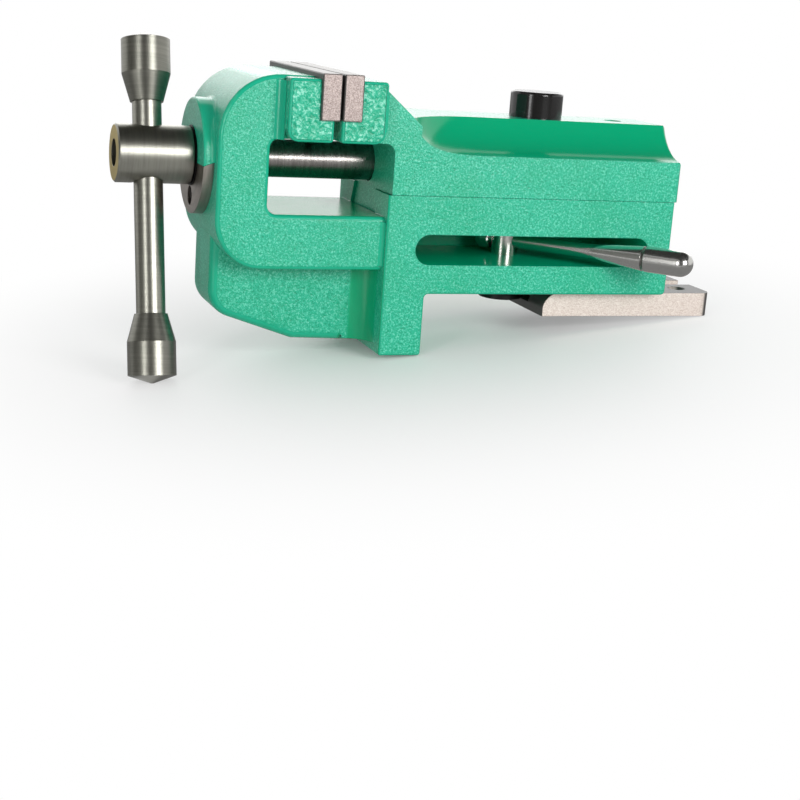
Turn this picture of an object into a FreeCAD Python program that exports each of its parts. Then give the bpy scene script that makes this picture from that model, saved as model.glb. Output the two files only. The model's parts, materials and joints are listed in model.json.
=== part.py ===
"""Jeweller's bench vise with a dovetail slide, a quick-release nut and a lever-locked bench plate.

Frame: millimetres, +Z up. +X runs from the handle to the rear, +Y to the name-plate side.
The origin is on the underside of the bench plate, at the middle of the plate.
"""
import FreeCAD
import Part

import math
import os

V = FreeCAD.Vector
X_AXIS = V(1, 0, 0)
Y_AXIS = V(0, 1, 0)
Z_AXIS = V(0, 0, 1)

# ---- Driving dimensions ------------------------------------------------------------------------
# Bench plate
PLATE_LENGTH = 64.0
PLATE_WIDTH = 39.0
PLATE_THICK = 8.0
PLATE_FRONT_ROUND = 6.2      # round on the top edge of the front end
PLATE_CORNER = 4.0           # upright corners of the rear end
PLATE_EDGE = 0.4             # small chamfer on the other edges
PLATE_GAP = 0.4              # between the plate and the body above it
PLATE_OVERHANG = 21.6        # how far the plate reaches behind the body
PLATE_HOLE_RADIUS = 2.25
PLATE_HOLE_MOUTH = 3.2       # bevelled mouth of the screw holes
PLATE_HOLE_SPREAD = 21.6
PLATE_HOLE_INSET = 9.0       # from the end of the plate to the holes
SLOT_NECK = 7.8              # width of the T-slot at the top
SLOT_WIDE = 15.7             # width of the T-slot below its lips
SLOT_LIP = 2.6               # thickness of the lips
SLOT_BED = 2.6               # thickness of the floor under the slot

# Lower block, the part of the base casting under the slide
BODY_WIDTH = 50.0
BLOCK_LENGTH = 101.0
BLOCK_HEIGHT = 31.2
CAST_EDGE = 0.8              # small round on cast edges
CAST_RIM = 0.7               # round along the sides of the casting
CAST_HEEL = 1.4              # round of the rear lower edge, and hollow behind the leg

# Leg that stops against the front edge of the bench
LEG_THICK = 14.2
LEG_DROP = 20.0

# C-shaped frame in front of the block
FRAME_WIDTH = 45.0
FRAME_REACH = 54.0           # block front to frame front
FRAME_TOP = 66.2             # heights are above the body's underside
FRAME_BOTTOM = 7.0
FRAME_TOP_ROUND = 19.0
FRAME_LOW_ROUND = 15.0
FRAME_EDGE = 1.5
WINDOW_REACH = 38.0
WINDOW_FLOOR = 24.0
WINDOW_ROUND = 3.0
FRAME_SEAT = 1.9             # hollow where the frame's arm meets the block
FRAME_ROOT = 5.0             # how far the frame and the belly run into the block

# Belly, the narrow web under the frame
BELLY_WIDTH = 24.0
BELLY_REACH = 52.5
BELLY_TOP = 22.0
BELLY_EDGE = 3.0
BELLY_KEEL_LOW = 1.7         # above the leg's foot, at the leg
BELLY_KEEL_TURN = 25.0       # block front to the bend of the keel
BELLY_KEEL_RISE = 2.7        # above the leg's foot, at the bend
BELLY_NOSE_RISE = 11.9       # above the leg's foot, at the nose
BELLY_NOSE_ROUND = 9.0
BELLY_TURN_ROUND = 2.0
BELLY_HOLLOW = 9.0           # hollow where the belly meets the leg

# Jaws
JAW_WIDTH = 59.0
JAW_PLATE_WIDTH = 61.5
JAW_PLATE_THICK = 6.1
JAW_PLATE_HEIGHT = 13.9
JAW_PLATE_TOP = 67.6
JAW_TOP = 65.8
JAW_UNDER = 47.0
JAW_FACE = 18.3              # block front to the moving jaw's face, at rest
JAW_GAP = 0.8                # jaw opening at rest
JAW_CORNER = 3.6
JAW_RIM = 1.1                # round along the blocks' sides
JAW_VALLEY = 3.4             # hollow between the frame and the fixed jaw block
JAW_RAMP_HOLLOW = 2.2        # hollow between the ramp and the moving jaw block
JAW_PLATE_EDGE = 0.3
FRONT_JAW_DEPTH = 9.6        # casting behind the fixed jaw plate
REAR_JAW_DEPTH = 8.5
FRONT_JAW_SETBACK = 1.3      # casting face behind the plate's face
REAR_JAW_SETBACK = 0.3
JAW_SCREW_SPREAD = 36.0

# Sliding jaw
SLIDE_START = 1.0            # behind the block's front
SLIDE_GAP = 0.1              # running gap of the slide
SLIDE_SIDE = 13.2            # height of its upright side
SLIDE_HEIGHT = 24.1
RIDGE_WIDTH = 22.0           # flat top between the two coves
COVE_SAG = 2.3
COVE_RUNOUT = 26.0
RAMP_RISE = 8.7
RAMP_ANGLE = 40.5
DOVETAIL_WALL = 0.9           # between the button's pocket and the dovetail's neck
DOVETAIL_ANGLE = 22.0        # from upright
DOVETAIL_DEPTH = 9.0
SLIDE_RIM = 0.9              # bevel round the slide's rear end
RAMP_ROOT = 3.0              # how far the ramp runs into the ridge

# Boss, keeper and spindle
SPINDLE_HEIGHT = 38.85
SPINDLE_RADIUS = 6.0
SPINDLE_TIP_INSET = 4.8      # block rear to the spindle's rear end
BOSS_RADIUS = 18.0
BOSS_PROUD = 3.3             # boss face in front of the frame
BOSS_ROOT = 9.0              # how far the boss runs into the frame
BOSS_HOLLOW = 1.8            # hollow between the boss and the frame
KEEPER_BEVEL = 23.0          # slope of the joint between boss and keeper
COLLAR_RADIUS = 7.8
COLLAR_LENGTH = 4.0
COLLAR_GAP = 0.3
BUSH_WALL = 2.6
BUSH_INSET = 0.2             # bush ends inside its bore
RUNNING = 0.06               # radial clearance of turning fits
FREE_BORE = 0.35             # radial clearance where the spindle only passes through
JOINT_GAP = 0.05             # between pieces that are screwed together
THRUST_THICK = 0.4
THRUST_RADIUS = 9.3
HEAD_RADIUS = 9.0
HEAD_LENGTH = 23.6
HEAD_BORE_RADIUS = 4.3       # hole in the head's front end
HEAD_CHAMFER = 0.5
STUB_RADIUS = 5.0            # spigot of the spindle inside the head
STUB_LENGTH = 6.0
FRICTION_SCREW_DEPTH = 3.2
HEAD_MOUTH = 0.9             # bevel where the bar enters the head
TAPPED = 0.02                # gap between a screw's plain body and its hole

# Handle bar; its angle is from upright, lower end towards -Y
BAR_RADIUS = 4.5
BAR_CLEAR = 0.08
BAR_LENGTH = 65.2            # between the two knobs' cones
BAR_ANGLE = 15.0
BAR_DROP = 16.7              # middle of the bar below the spindle's axis
BAR_SETBACK = 13.15          # bar axis in front of the head's rear end
BAR_SPIGOT = 3.0             # radius of the bar's ends inside the knobs
KNOB_RADIUS = 7.5
KNOB_LENGTH = 10.5
KNOB_CONE = 8.6
KNOB_NECK = 5.1
KNOB_TIP = 2.4
KNOB_POINT = 0.4             # radius of the blunt point

# Quick-release button, half nut and spring
BUTTON_PLACE = 58.7          # block front to the button's axis
BUTTON_RADIUS = 8.75
BUTTON_HEIGHT = 8.5          # above the slide's top
BUTTON_EDGE = 1.0
BUTTON_TRAVEL = 4.0
BUTTON_CLEAR = 0.05
BUTTON_FOOT = 0.3            # how far the button's joint lies under the slide's top
NUT_SPARE = 0.2              # room above the spindle when the button is down
NUT_FLOOR = 30.5
POCKET_FLOOR = 24.6
SPRING_FOOT = 7.4            # coil radius at the bottom of the conical spring
SPRING_CROWN = 3.6
SPRING_WIRE = 0.45           # half the wire's thickness
SPRING_TURNS = 3.0
SPRING_SEAT = 0.05           # between the coil and what it stands on

# Rear plug and its grub screw
PLUG_RADIUS = 8.85
PLUG_LENGTH = 15.6
PLUG_RECESS = 1.6
GRUB_INSET = 13.3            # block rear to the grub screw's axis
GRUB_RADIUS = 3.0
GRUB_SINK = 0.5              # its top under the slide's top
GRUB_SOCKET = 1.7
GRUB_SOCKET_DEPTH = 2.5

# Lever lock
POST_INSET = 49.5            # block rear to the post's axis
POST_RADIUS = 4.5
POST_FOOT = 4.0              # height of the post's shoulder above the body's underside
POST_PLAY = 0.1              # between the post and the casting, above and below
BOLT_RADIUS = 2.95           # shank of the T-bolt, inside the post
BOLT_NECK = 3.5
BOLT_HEAD_RADIUS = 7.5
BOLT_HEAD_HEIGHT = 2.0
BOLT_HEAD_EDGE = 0.3
BOLT_RISE = 0.45             # room between the T-bolt's head and the slot's lips
BOLT_WALL = 1.0              # left in the post between the T-bolt's bore and the lever's hole
SLOT_FLOOR = 9.4
SLOT_HEIGHT = 9.7
SLOT_LENGTH = 83.0
SLOT_REACH = 39.0            # depth of the slot from the lever side
LEVER_ANGLE = 47.0           # from +X towards -Y
LEVER_ROD = 2.5
LEVER_TAPER_START = 31.5
LEVER_TAPER_END = 50.0
LEVER_LENGTH = 66.0
LEVER_RADIUS = 4.2
LEVER_KNOB_RADIUS = 4.0
LEVER_KNOB_LENGTH = 5.5
LEVER_KNOB_WALL = 1.5        # solid end of the knob beyond the lever's tip
LEVER_KNOB_ROUND = 2.4
LEVER_KNOB_EDGE = 0.5
LEVER_SPIGOT = 9.0           # lever inside its handle
HANDLE_EDGE = 0.4
GROOVE = 0.6

# Name plate
NAME_LENGTH = 51.4
NAME_HEIGHT = 14.2
NAME_MIDDLE = 50.1
NAME_LEVEL = 20.0
NAME_CORNER = 2.2
NAME_RECESS = 0.8
NAME_THICK = 1.0
NAME_CLEAR = 0.2

# Socket screws
SCREW_HEAD_RADIUS = 4.2
SCREW_HEAD_HEIGHT = 3.6
SCREW_SHANK = 2.45
SCREW_REACH = 7.0
SCREW_CLEAR = 0.15
SCREW_SINK = 0.3             # head under the jaw plate's face
SCREW_SHORT = 0.6            # end of the screw before the bottom of its hole
SOCKET_RADIUS = 2.0
SOCKET_DEPTH = 2.2
KEEPER_SCREW_DROP = 12.5
KEEPER_SCREW_HEAD = 2.9
KEEPER_SCREW_HIGH = 1.5      # height of its head
KEEPER_SCREW_SINK = 1.0      # its seat in front of the frame's face
KEEPER_SOCKET_RADIUS = 1.5
KEEPER_SOCKET_DEPTH = 1.2

# ---- Places worked out from them ---------------------------------------------------------------
BODY_Z = PLATE_THICK + PLATE_GAP                    # the body's underside
BLOCK_REAR = PLATE_LENGTH / 2 - PLATE_OVERHANG      # x of the block's rear face
BLOCK_FRONT = BLOCK_REAR - BLOCK_LENGTH
PARTING_Z = BODY_Z + BLOCK_HEIGHT
SPINDLE_Z = BODY_Z + SPINDLE_HEIGHT
FRAME_FRONT = BLOCK_FRONT - FRAME_REACH
BOSS_FACE = FRAME_FRONT - BOSS_PROUD
SLIDE_FRONT = BLOCK_FRONT + SLIDE_START
DOVETAIL_TOP = 2 * (BUTTON_RADIUS + BUTTON_CLEAR + DOVETAIL_WALL)  # width of the neck
SLIDE_REAR = BLOCK_REAR + SLIDE_START
SLIDE_BASE = PARTING_Z + SLIDE_GAP
SLIDE_TOP = PARTING_Z + SLIDE_HEIGHT
COVE_LOW = PARTING_Z + SLIDE_SIDE
REAR_FACE_X = BLOCK_FRONT - JAW_FACE                # face of the moving jaw plate
FRONT_FACE_X = REAR_FACE_X - JAW_GAP                # face of the fixed jaw plate
JAW_SEAT_Z = BODY_Z + JAW_PLATE_TOP - JAW_PLATE_HEIGHT
REAR_JAW_BACK = REAR_FACE_X + JAW_PLATE_THICK + REAR_JAW_DEPTH
FRONT_JAW_BACK = FRONT_FACE_X - JAW_PLATE_THICK - FRONT_JAW_DEPTH
THRUST_FACE = BOSS_FACE - THRUST_THICK
HEAD_FRONT = THRUST_FACE - HEAD_LENGTH
BAR_X = THRUST_FACE - BAR_SETBACK
BUTTON_X = BLOCK_FRONT + BUTTON_PLACE
POST_X = BLOCK_REAR - POST_INSET
LEVER_Z = BODY_Z + SLOT_FLOOR + SLOT_HEIGHT / 2
SLIDE_TOP_X = REAR_JAW_BACK + RAMP_RISE / math.tan(math.radians(RAMP_ANGLE))    # foot of the ramp
COLLAR_FRONT = FRAME_FRONT + COLLAR_GAP
COLLAR_REAR = COLLAR_FRONT + COLLAR_LENGTH


# ---- Shape helpers -----------------------------------------------------------------------------
def box(x0, x1, y0, y1, z0, z1):
    """Block between two opposite corners."""
    return Part.makeBox(x1 - x0, y1 - y0, z1 - z0, V(x0, y0, z0))


def rounded_wire(corners, to_point):
    """Closed wire through (u, v, radius) corners, each rounded by its own radius."""
    edges = []
    starts, ends, arcs = [], [], []
    count = len(corners)
    for i, (u, v, radius) in enumerate(corners):
        here = V(u, v, 0)
        before = V(*corners[i - 1][:2], 0) - here
        after = V(*corners[(i + 1) % count][:2], 0) - here
        before.normalize()
        after.normalize()
        if radius <= 0:
            starts.append(here)
            ends.append(here)
            arcs.append(None)
            continue
        half = before.getAngle(after) / 2
        reach = radius / math.tan(half)
        bisector = before + after
        bisector.normalize()
        middle = here + bisector * (radius / math.sin(half) - radius)
        starts.append(here + before * reach)
        ends.append(here + after * reach)
        arcs.append(middle)
    for i in range(count):
        if arcs[i] is not None:
            edges.append(Part.Arc(to_point(starts[i]), to_point(arcs[i]), to_point(ends[i])).toShape())
        line_start, line_end = to_point(ends[i]), to_point(starts[(i + 1) % count])
        if line_start.distanceToPoint(line_end) > 1e-6:
            edges.append(Part.LineSegment(line_start, line_end).toShape())
    return Part.Wire(edges)


def side_prism(corners, width, middle=0.0):
    """Profile of (x, z, radius) corners, extruded over a width centred on a y."""
    wire = rounded_wire(corners, lambda p: V(p.x, middle - width / 2, p.y))
    return Part.Face(wire).extrude(V(0, width, 0))


def plan_prism(corners, z0, z1):
    """Profile of (x, y, radius) corners, extruded upwards."""
    wire = rounded_wire(corners, lambda p: V(p.x, p.y, z0))
    return Part.Face(wire).extrude(V(0, 0, z1 - z0))


def turned(profile, origin, axis):
    """Solid of revolution: (along, radius) points turned about an axis from an origin."""
    points = [V(radius, 0, along) for along, radius in profile]
    wire = Part.makePolygon(points + [points[0]])
    solid = Part.Face(wire).revolve(V(0, 0, 0), Z_AXIS, 360)
    solid.Placement = FreeCAD.Placement(origin, FreeCAD.Rotation(Z_AXIS, axis))
    return solid


def rod(radius, start, axis, length):
    """Plain cylinder."""
    return Part.makeCylinder(radius, length, start, axis)


def edges_on(solid, test):
    """Edges whose every vertex passes a test."""
    return [edge for edge in solid.Edges if all(test(vertex.Point) for vertex in edge.Vertexes)]


def rims_at(solid, start, axis, along):
    """Full circles of a turned solid at a distance along its axis."""
    return [edge for edge in solid.Edges if len(edge.Vertexes) == 1
            and abs((edge.Vertexes[0].Point - start).dot(axis) - along) < 1e-3]


def hexagon(radius, start, axis, length):
    """Hexagonal prism for a socket."""
    points = [V(radius * math.cos(math.radians(60 * i)), radius * math.sin(math.radians(60 * i)), 0)
              for i in range(7)]
    solid = Part.Face(Part.makePolygon(points)).extrude(V(0, 0, length))
    solid.Placement = FreeCAD.Placement(start, FreeCAD.Rotation(Z_AXIS, axis))
    return solid


def socket_screw(head_radius, seat, axis, reach):
    """Socket-head screw: the head stands on its seat along -axis, the shank runs along axis."""
    head = rod(head_radius, seat - axis * SCREW_HEAD_HEIGHT, axis, SCREW_HEAD_HEIGHT)
    shank = rod(SCREW_SHANK, seat, axis, reach)
    socket = hexagon(SOCKET_RADIUS, seat - axis * SCREW_HEAD_HEIGHT, axis, SOCKET_DEPTH)
    return head.fuse(shank).removeSplitter().cut(socket)


def one_solid(shape):
    """The single solid of a finished boolean."""
    clean = shape.removeSplitter()
    return clean.Solids[0] if len(clean.Solids) == 1 else clean


# ---- Base casting and what is fixed to it ------------------------------------------------------
def dovetail(x0, x1, grow):
    """Dovetail under the parting plane, grown by a running gap on its faces."""
    top = DOVETAIL_TOP / 2 + grow
    low = top + DOVETAIL_DEPTH * math.tan(math.radians(DOVETAIL_ANGLE))
    floor = PARTING_Z - DOVETAIL_DEPTH - grow
    slope = math.tan(math.radians(DOVETAIL_ANGLE))
    above = SLIDE_BASE + 1.0
    pinch = top - slope * (above - PARTING_Z)
    points = [V(x0, -low - slope * grow, floor), V(x0, low + slope * grow, floor),
              V(x0, pinch, above), V(x0, -pinch, above)]
    return Part.Face(Part.makePolygon(points + [points[0]])).extrude(V(x1 - x0, 0, 0))


def keeper_wedge(grow):
    """Everything in front of the frame under the bevelled joint of the keeper plate."""
    slope = math.tan(math.radians(KEEPER_BEVEL))
    reach = BOSS_RADIUS * 2
    low = SPINDLE_Z - slope * BOSS_PROUD
    points = [V(BOSS_FACE, -reach, low + grow), V(FRAME_FRONT, -reach, SPINDLE_Z + grow),
              V(FRAME_FRONT, -reach, SPINDLE_Z - reach), V(BOSS_FACE, -reach, SPINDLE_Z - reach)]
    return Part.Face(Part.makePolygon(points + [points[0]])).extrude(V(0, 2 * reach, 0))


def jaw_screw_places():
    """The y of each jaw plate screw."""
    return (-JAW_SCREW_SPREAD / 2, JAW_SCREW_SPREAD / 2)


def jaw_screw_z():
    """Height of the jaw plate screws, the middle of the plate."""
    return JAW_SEAT_Z + JAW_PLATE_HEIGHT / 2


def soft_edges(solid, radius, test):
    """Round the edges that pass a test."""
    return solid.makeFillet(radius, edges_on(solid, test))


def base_frame():
    """C-shaped frame: profile with its window open towards the slide."""
    gap_x = FRONT_FACE_X - FRONT_JAW_SETBACK
    corners = [
        (BLOCK_FRONT + FRAME_ROOT, BODY_Z + FRAME_BOTTOM, 0),
        (BLOCK_FRONT + FRAME_ROOT, BODY_Z + WINDOW_FLOOR, 0),
        (BLOCK_FRONT - WINDOW_REACH, BODY_Z + WINDOW_FLOOR, WINDOW_ROUND),
        (BLOCK_FRONT - WINDOW_REACH, BODY_Z + JAW_UNDER, WINDOW_ROUND),
        (gap_x, BODY_Z + JAW_UNDER, 0),
        (gap_x, BODY_Z + FRAME_TOP, 0),
        (FRAME_FRONT, BODY_Z + FRAME_TOP, FRAME_TOP_ROUND),
        (FRAME_FRONT, BODY_Z + FRAME_BOTTOM, FRAME_LOW_ROUND),
    ]
    solid = side_prism(corners, FRAME_WIDTH)
    half = FRAME_WIDTH / 2 - 1e-3
    return soft_edges(solid, FRAME_EDGE, lambda p: abs(p.y) > half)


def boss_on_frame():
    """The frame with the spindle's boss, and the hollow all round it."""
    frame = base_frame()
    boss = rod(BOSS_RADIUS, V(BOSS_FACE, 0, SPINDLE_Z), X_AXIS, BOSS_PROUD + BOSS_ROOT)
    boss = boss.makeFillet(CAST_EDGE, rims_at(boss, V(BOSS_FACE, 0, 0), X_AXIS, 0.0))
    solid = one_solid(frame.fuse(boss))

    def on_boss(edge):
        middle = edge.valueAt((edge.FirstParameter + edge.LastParameter) / 2)
        radius = math.hypot(middle.y, middle.z - SPINDLE_Z)
        return abs(radius - BOSS_RADIUS) < 1e-3 and middle.x > FRAME_FRONT - 1e-3

    joint = [edge for edge in solid.Edges if on_boss(edge)]
    return solid.makeFillet(BOSS_HOLLOW, joint)


def belly():
    """Narrow web under the frame, with a rounded nose."""
    foot = BODY_Z - LEG_DROP
    corners = [
        (BLOCK_FRONT + FRAME_ROOT, foot + BELLY_KEEL_LOW, 0),
        (BLOCK_FRONT - BELLY_KEEL_TURN, foot + BELLY_KEEL_RISE, BELLY_TURN_ROUND),
        (BLOCK_FRONT - BELLY_REACH, foot + BELLY_NOSE_RISE, BELLY_NOSE_ROUND),
        (BLOCK_FRONT - BELLY_REACH, BODY_Z + BELLY_TOP, 0),
        (BLOCK_FRONT + FRAME_ROOT, BODY_Z + BELLY_TOP, 0),
    ]
    solid = side_prism(corners, BELLY_WIDTH)
    half = BELLY_WIDTH / 2 - 1e-3
    top = BODY_Z + BELLY_TOP - 1e-3
    rear = BLOCK_FRONT + FRAME_ROOT - 1e-3
    edges = [edge for edge in edges_on(solid, lambda p: abs(p.y) > half)
             if not all(v.Point.z > top for v in edge.Vertexes)
             and not all(v.Point.x > rear for v in edge.Vertexes)]
    return solid.makeFillet(BELLY_EDGE, edges)


def jaw_block(face_x, back_x, sign):
    """Jaw block; sign is +1 for the moving jaw, whose back is towards +X."""
    corners = [
        (back_x, BODY_Z + JAW_UNDER, JAW_CORNER),
        (face_x, BODY_Z + JAW_UNDER, JAW_RIM),
        (face_x, BODY_Z + JAW_TOP, JAW_RIM),
        (back_x, BODY_Z + JAW_TOP, JAW_RIM),
    ]
    solid = side_prism(corners if sign > 0 else corners[::-1], JAW_WIDTH)
    half = JAW_WIDTH / 2 - 1e-3
    return soft_edges(solid, JAW_RIM, lambda p: abs(p.y) > half)


def side_fillets(x_face, radius, half_width, z0, z1, towards):
    """Concave upright fillets where a wider block meets the frame's sides."""
    out = None
    for side in (-1, 1):
        corner = box(min(x_face, x_face + towards * radius), max(x_face, x_face + towards * radius),
                     min(side * half_width, side * (half_width + radius)),
                     max(side * half_width, side * (half_width + radius)), z0, z1)
        hollow = rod(radius, V(x_face + towards * radius, side * (half_width + radius), z0),
                     Z_AXIS, z1 - z0)
        piece = corner.cut(hollow)
        out = piece if out is None else out.fuse(piece)
    return out


def block_and_leg():
    """Lower block with the leg, from one profile, rounded along both sides."""
    foot = BODY_Z - LEG_DROP
    leg_rear = BLOCK_FRONT + LEG_THICK
    solid = side_prism([
        (BLOCK_FRONT, foot, CAST_EDGE), (leg_rear, foot, CAST_EDGE), (leg_rear, BODY_Z, CAST_HEEL),
        (BLOCK_REAR, BODY_Z, CAST_HEEL), (BLOCK_REAR, PARTING_Z, 0), (BLOCK_FRONT, PARTING_Z, 0),
    ], BODY_WIDTH)
    half = BODY_WIDTH / 2 - 1e-3
    top = PARTING_Z - 1e-3
    edges = [edge for edge in edges_on(solid, lambda p: abs(p.y) > half)
             if not all(v.Point.z > top for v in edge.Vertexes)]
    return solid.makeFillet(CAST_RIM, edges)


def base_casting():
    """The one-piece casting: block, leg, frame, belly, boss and fixed jaw block."""
    jaw = jaw_block(FRONT_FACE_X - FRONT_JAW_SETBACK, FRONT_JAW_BACK, -1)
    body = block_and_leg().multiFuse([boss_on_frame(), belly(), jaw])
    body = body.fuse(side_fillets(FRONT_JAW_BACK, JAW_VALLEY, FRAME_WIDTH / 2 - 0.01,
                                  BODY_Z + JAW_UNDER, BODY_Z + FRAME_TOP - FRAME_EDGE, -1))
    body = body.fuse(side_fillets(BLOCK_FRONT, FRAME_SEAT, FRAME_WIDTH / 2 - 0.01,
                                  BODY_Z + FRAME_BOTTOM + FRAME_EDGE, BODY_Z + WINDOW_FLOOR - FRAME_EDGE, -1))
    body = body.fuse(side_fillets(BLOCK_FRONT, BELLY_HOLLOW, BELLY_WIDTH / 2 - 0.01,
                                  BODY_Z - LEG_DROP + BELLY_EDGE, BODY_Z + FRAME_BOTTOM + 1.0, -1))
    cuts = [
        dovetail(BLOCK_FRONT - 0.01, BLOCK_REAR + 1, SLIDE_GAP),
        keeper_wedge(JOINT_GAP),
        box(FRONT_FACE_X - JAW_PLATE_THICK, FRONT_FACE_X + 1, -JAW_WIDTH, JAW_WIDTH,
            JAW_SEAT_Z, BODY_Z + FRAME_TOP + 5),
        rod(SPINDLE_RADIUS + RUNNING + BUSH_WALL, V(COLLAR_REAR, 0, SPINDLE_Z), X_AXIS,
            BLOCK_FRONT - WINDOW_REACH - COLLAR_REAR + 0.01),
        rod(COLLAR_RADIUS + RUNNING, V(BOSS_FACE - 1, 0, SPINDLE_Z), X_AXIS,
            COLLAR_REAR - BOSS_FACE + 1),
        rod(SPINDLE_RADIUS + FREE_BORE, V(COLLAR_REAR, 0, SPINDLE_Z), X_AXIS,
            BLOCK_FRONT - WINDOW_REACH + WINDOW_ROUND - COLLAR_REAR),
        lever_slot(),
        rod(POST_RADIUS + RUNNING, V(POST_X, 0, BODY_Z + POST_FOOT), Z_AXIS, SLOT_FLOOR),
        rod(BOLT_NECK + RUNNING, V(POST_X, 0, BODY_Z - 1), Z_AXIS, POST_FOOT + 2),
        name_outline(NAME_CLEAR, BODY_WIDTH / 2 - NAME_RECESS, BODY_WIDTH / 2 + 1),
        rod(SCREW_SHANK, V(FRAME_FRONT - 1, 0, SPINDLE_Z - KEEPER_SCREW_DROP), X_AXIS,
            SCREW_REACH + SCREW_SHORT + 1),
    ]
    for y in jaw_screw_places():
        cuts.append(rod(SCREW_SHANK, V(FRONT_FACE_X - JAW_PLATE_THICK + 1, y, jaw_screw_z()),
                        -X_AXIS, SCREW_REACH + 1))
    for cut in cuts:
        body = body.cut(cut)
    return one_solid(body)


def lever_slot():
    """Long round-ended slot for the lever, open on the -Y side."""
    x0 = POST_X - SLOT_LENGTH / 2
    radius = SLOT_HEIGHT / 2 - 0.01
    z0 = BODY_Z + SLOT_FLOOR
    corners = [(x0, z0, radius), (x0 + SLOT_LENGTH, z0, radius),
               (x0 + SLOT_LENGTH, z0 + SLOT_HEIGHT, radius), (x0, z0 + SLOT_HEIGHT, radius)]
    return side_prism(corners, SLOT_REACH + 1, -BODY_WIDTH / 2 - 1 + (SLOT_REACH + 1) / 2)


def name_outline(grow, y0, y1):
    """Rounded rectangle of the name plate or its recess."""
    x0 = BLOCK_FRONT + NAME_MIDDLE - NAME_LENGTH / 2 - grow
    x1 = x0 + NAME_LENGTH + 2 * grow
    z0 = BODY_Z + NAME_LEVEL - NAME_HEIGHT / 2 - grow
    z1 = z0 + NAME_HEIGHT + 2 * grow
    radius = NAME_CORNER + grow
    corners = [(x0, z0, radius), (x1, z0, radius), (x1, z1, radius), (x0, z1, radius)]
    return side_prism(corners, y1 - y0, (y0 + y1) / 2)


def name_plate():
    """Bare plate seated in its recess."""
    y0 = BODY_WIDTH / 2 - NAME_RECESS
    return name_outline(0.0, y0, y0 + NAME_THICK)


def keeper_plate():
    """Half-moon plate that holds the spindle's collar in the boss."""
    disc = rod(BOSS_RADIUS - JOINT_GAP, V(BOSS_FACE, 0, SPINDLE_Z), X_AXIS, BOSS_PROUD - JOINT_GAP)
    plate = disc.common(keeper_wedge(-JOINT_GAP))
    plate = plate.cut(rod(SPINDLE_RADIUS + RUNNING, V(BOSS_FACE - 1, 0, SPINDLE_Z), X_AXIS, BOSS_PROUD + 2))
    place = V(BOSS_FACE - 1, 0, SPINDLE_Z - KEEPER_SCREW_DROP)
    plate = plate.cut(rod(SCREW_SHANK + SCREW_CLEAR, place, X_AXIS, BOSS_PROUD + 2))
    plate = plate.cut(rod(KEEPER_SCREW_HEAD + SCREW_CLEAR, place, X_AXIS, BOSS_PROUD))
    return one_solid(plate)


def keeper_screw():
    """Low-head screw of the keeper plate."""
    seat = V(FRAME_FRONT - KEEPER_SCREW_SINK, 0, SPINDLE_Z - KEEPER_SCREW_DROP)
    top = seat - X_AXIS * KEEPER_SCREW_HIGH
    head = rod(KEEPER_SCREW_HEAD, top, X_AXIS, KEEPER_SCREW_HIGH)
    shank = rod(SCREW_SHANK, seat, X_AXIS, SCREW_REACH)
    socket = hexagon(KEEPER_SOCKET_RADIUS, top, X_AXIS, KEEPER_SOCKET_DEPTH)
    return head.fuse(shank).removeSplitter().cut(socket)


def spindle_bush():
    """Plain bearing bush behind the spindle's collar."""
    length = BLOCK_FRONT - WINDOW_REACH - COLLAR_REAR - 2 * BUSH_INSET
    start = V(COLLAR_REAR + BUSH_INSET, 0, SPINDLE_Z)
    bush = rod(SPINDLE_RADIUS + RUNNING + BUSH_WALL, start, X_AXIS, length)
    return bush.cut(rod(SPINDLE_RADIUS + RUNNING, start - X_AXIS, X_AXIS, length + 2))


def jaw_plate(face_x, sign):
    """Hardened jaw plate with two counterbored screw holes; sign points from face to back."""
    x0, x1 = sorted((face_x, face_x + sign * JAW_PLATE_THICK))
    half = JAW_PLATE_WIDTH / 2
    plate = box(x0, x1, -half, half, JAW_SEAT_Z, JAW_SEAT_Z + JAW_PLATE_HEIGHT)
    plate = plate.makeChamfer(JAW_PLATE_EDGE, plate.Edges)
    back = X_AXIS * sign
    for y in jaw_screw_places():
        face = V(face_x, y, jaw_screw_z()) - back
        plate = plate.cut(rod(SCREW_SHANK + SCREW_CLEAR, face, back, JAW_PLATE_THICK + 2))
        plate = plate.cut(rod(SCREW_HEAD_RADIUS + SCREW_CLEAR, face, back,
                              SCREW_HEAD_HEIGHT + SCREW_SINK + 1))
    return plate


def jaw_screws(face_x, sign):
    """The two screws of one jaw plate."""
    depth = SCREW_HEAD_HEIGHT + SCREW_SINK
    seats = [V(face_x + sign * depth, y, jaw_screw_z()) for y in jaw_screw_places()]
    reach = JAW_PLATE_THICK - depth + SCREW_REACH - SCREW_SHORT
    return Part.makeCompound([socket_screw(SCREW_HEAD_RADIUS, seat, X_AXIS * sign, reach)
                              for seat in seats])


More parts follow.
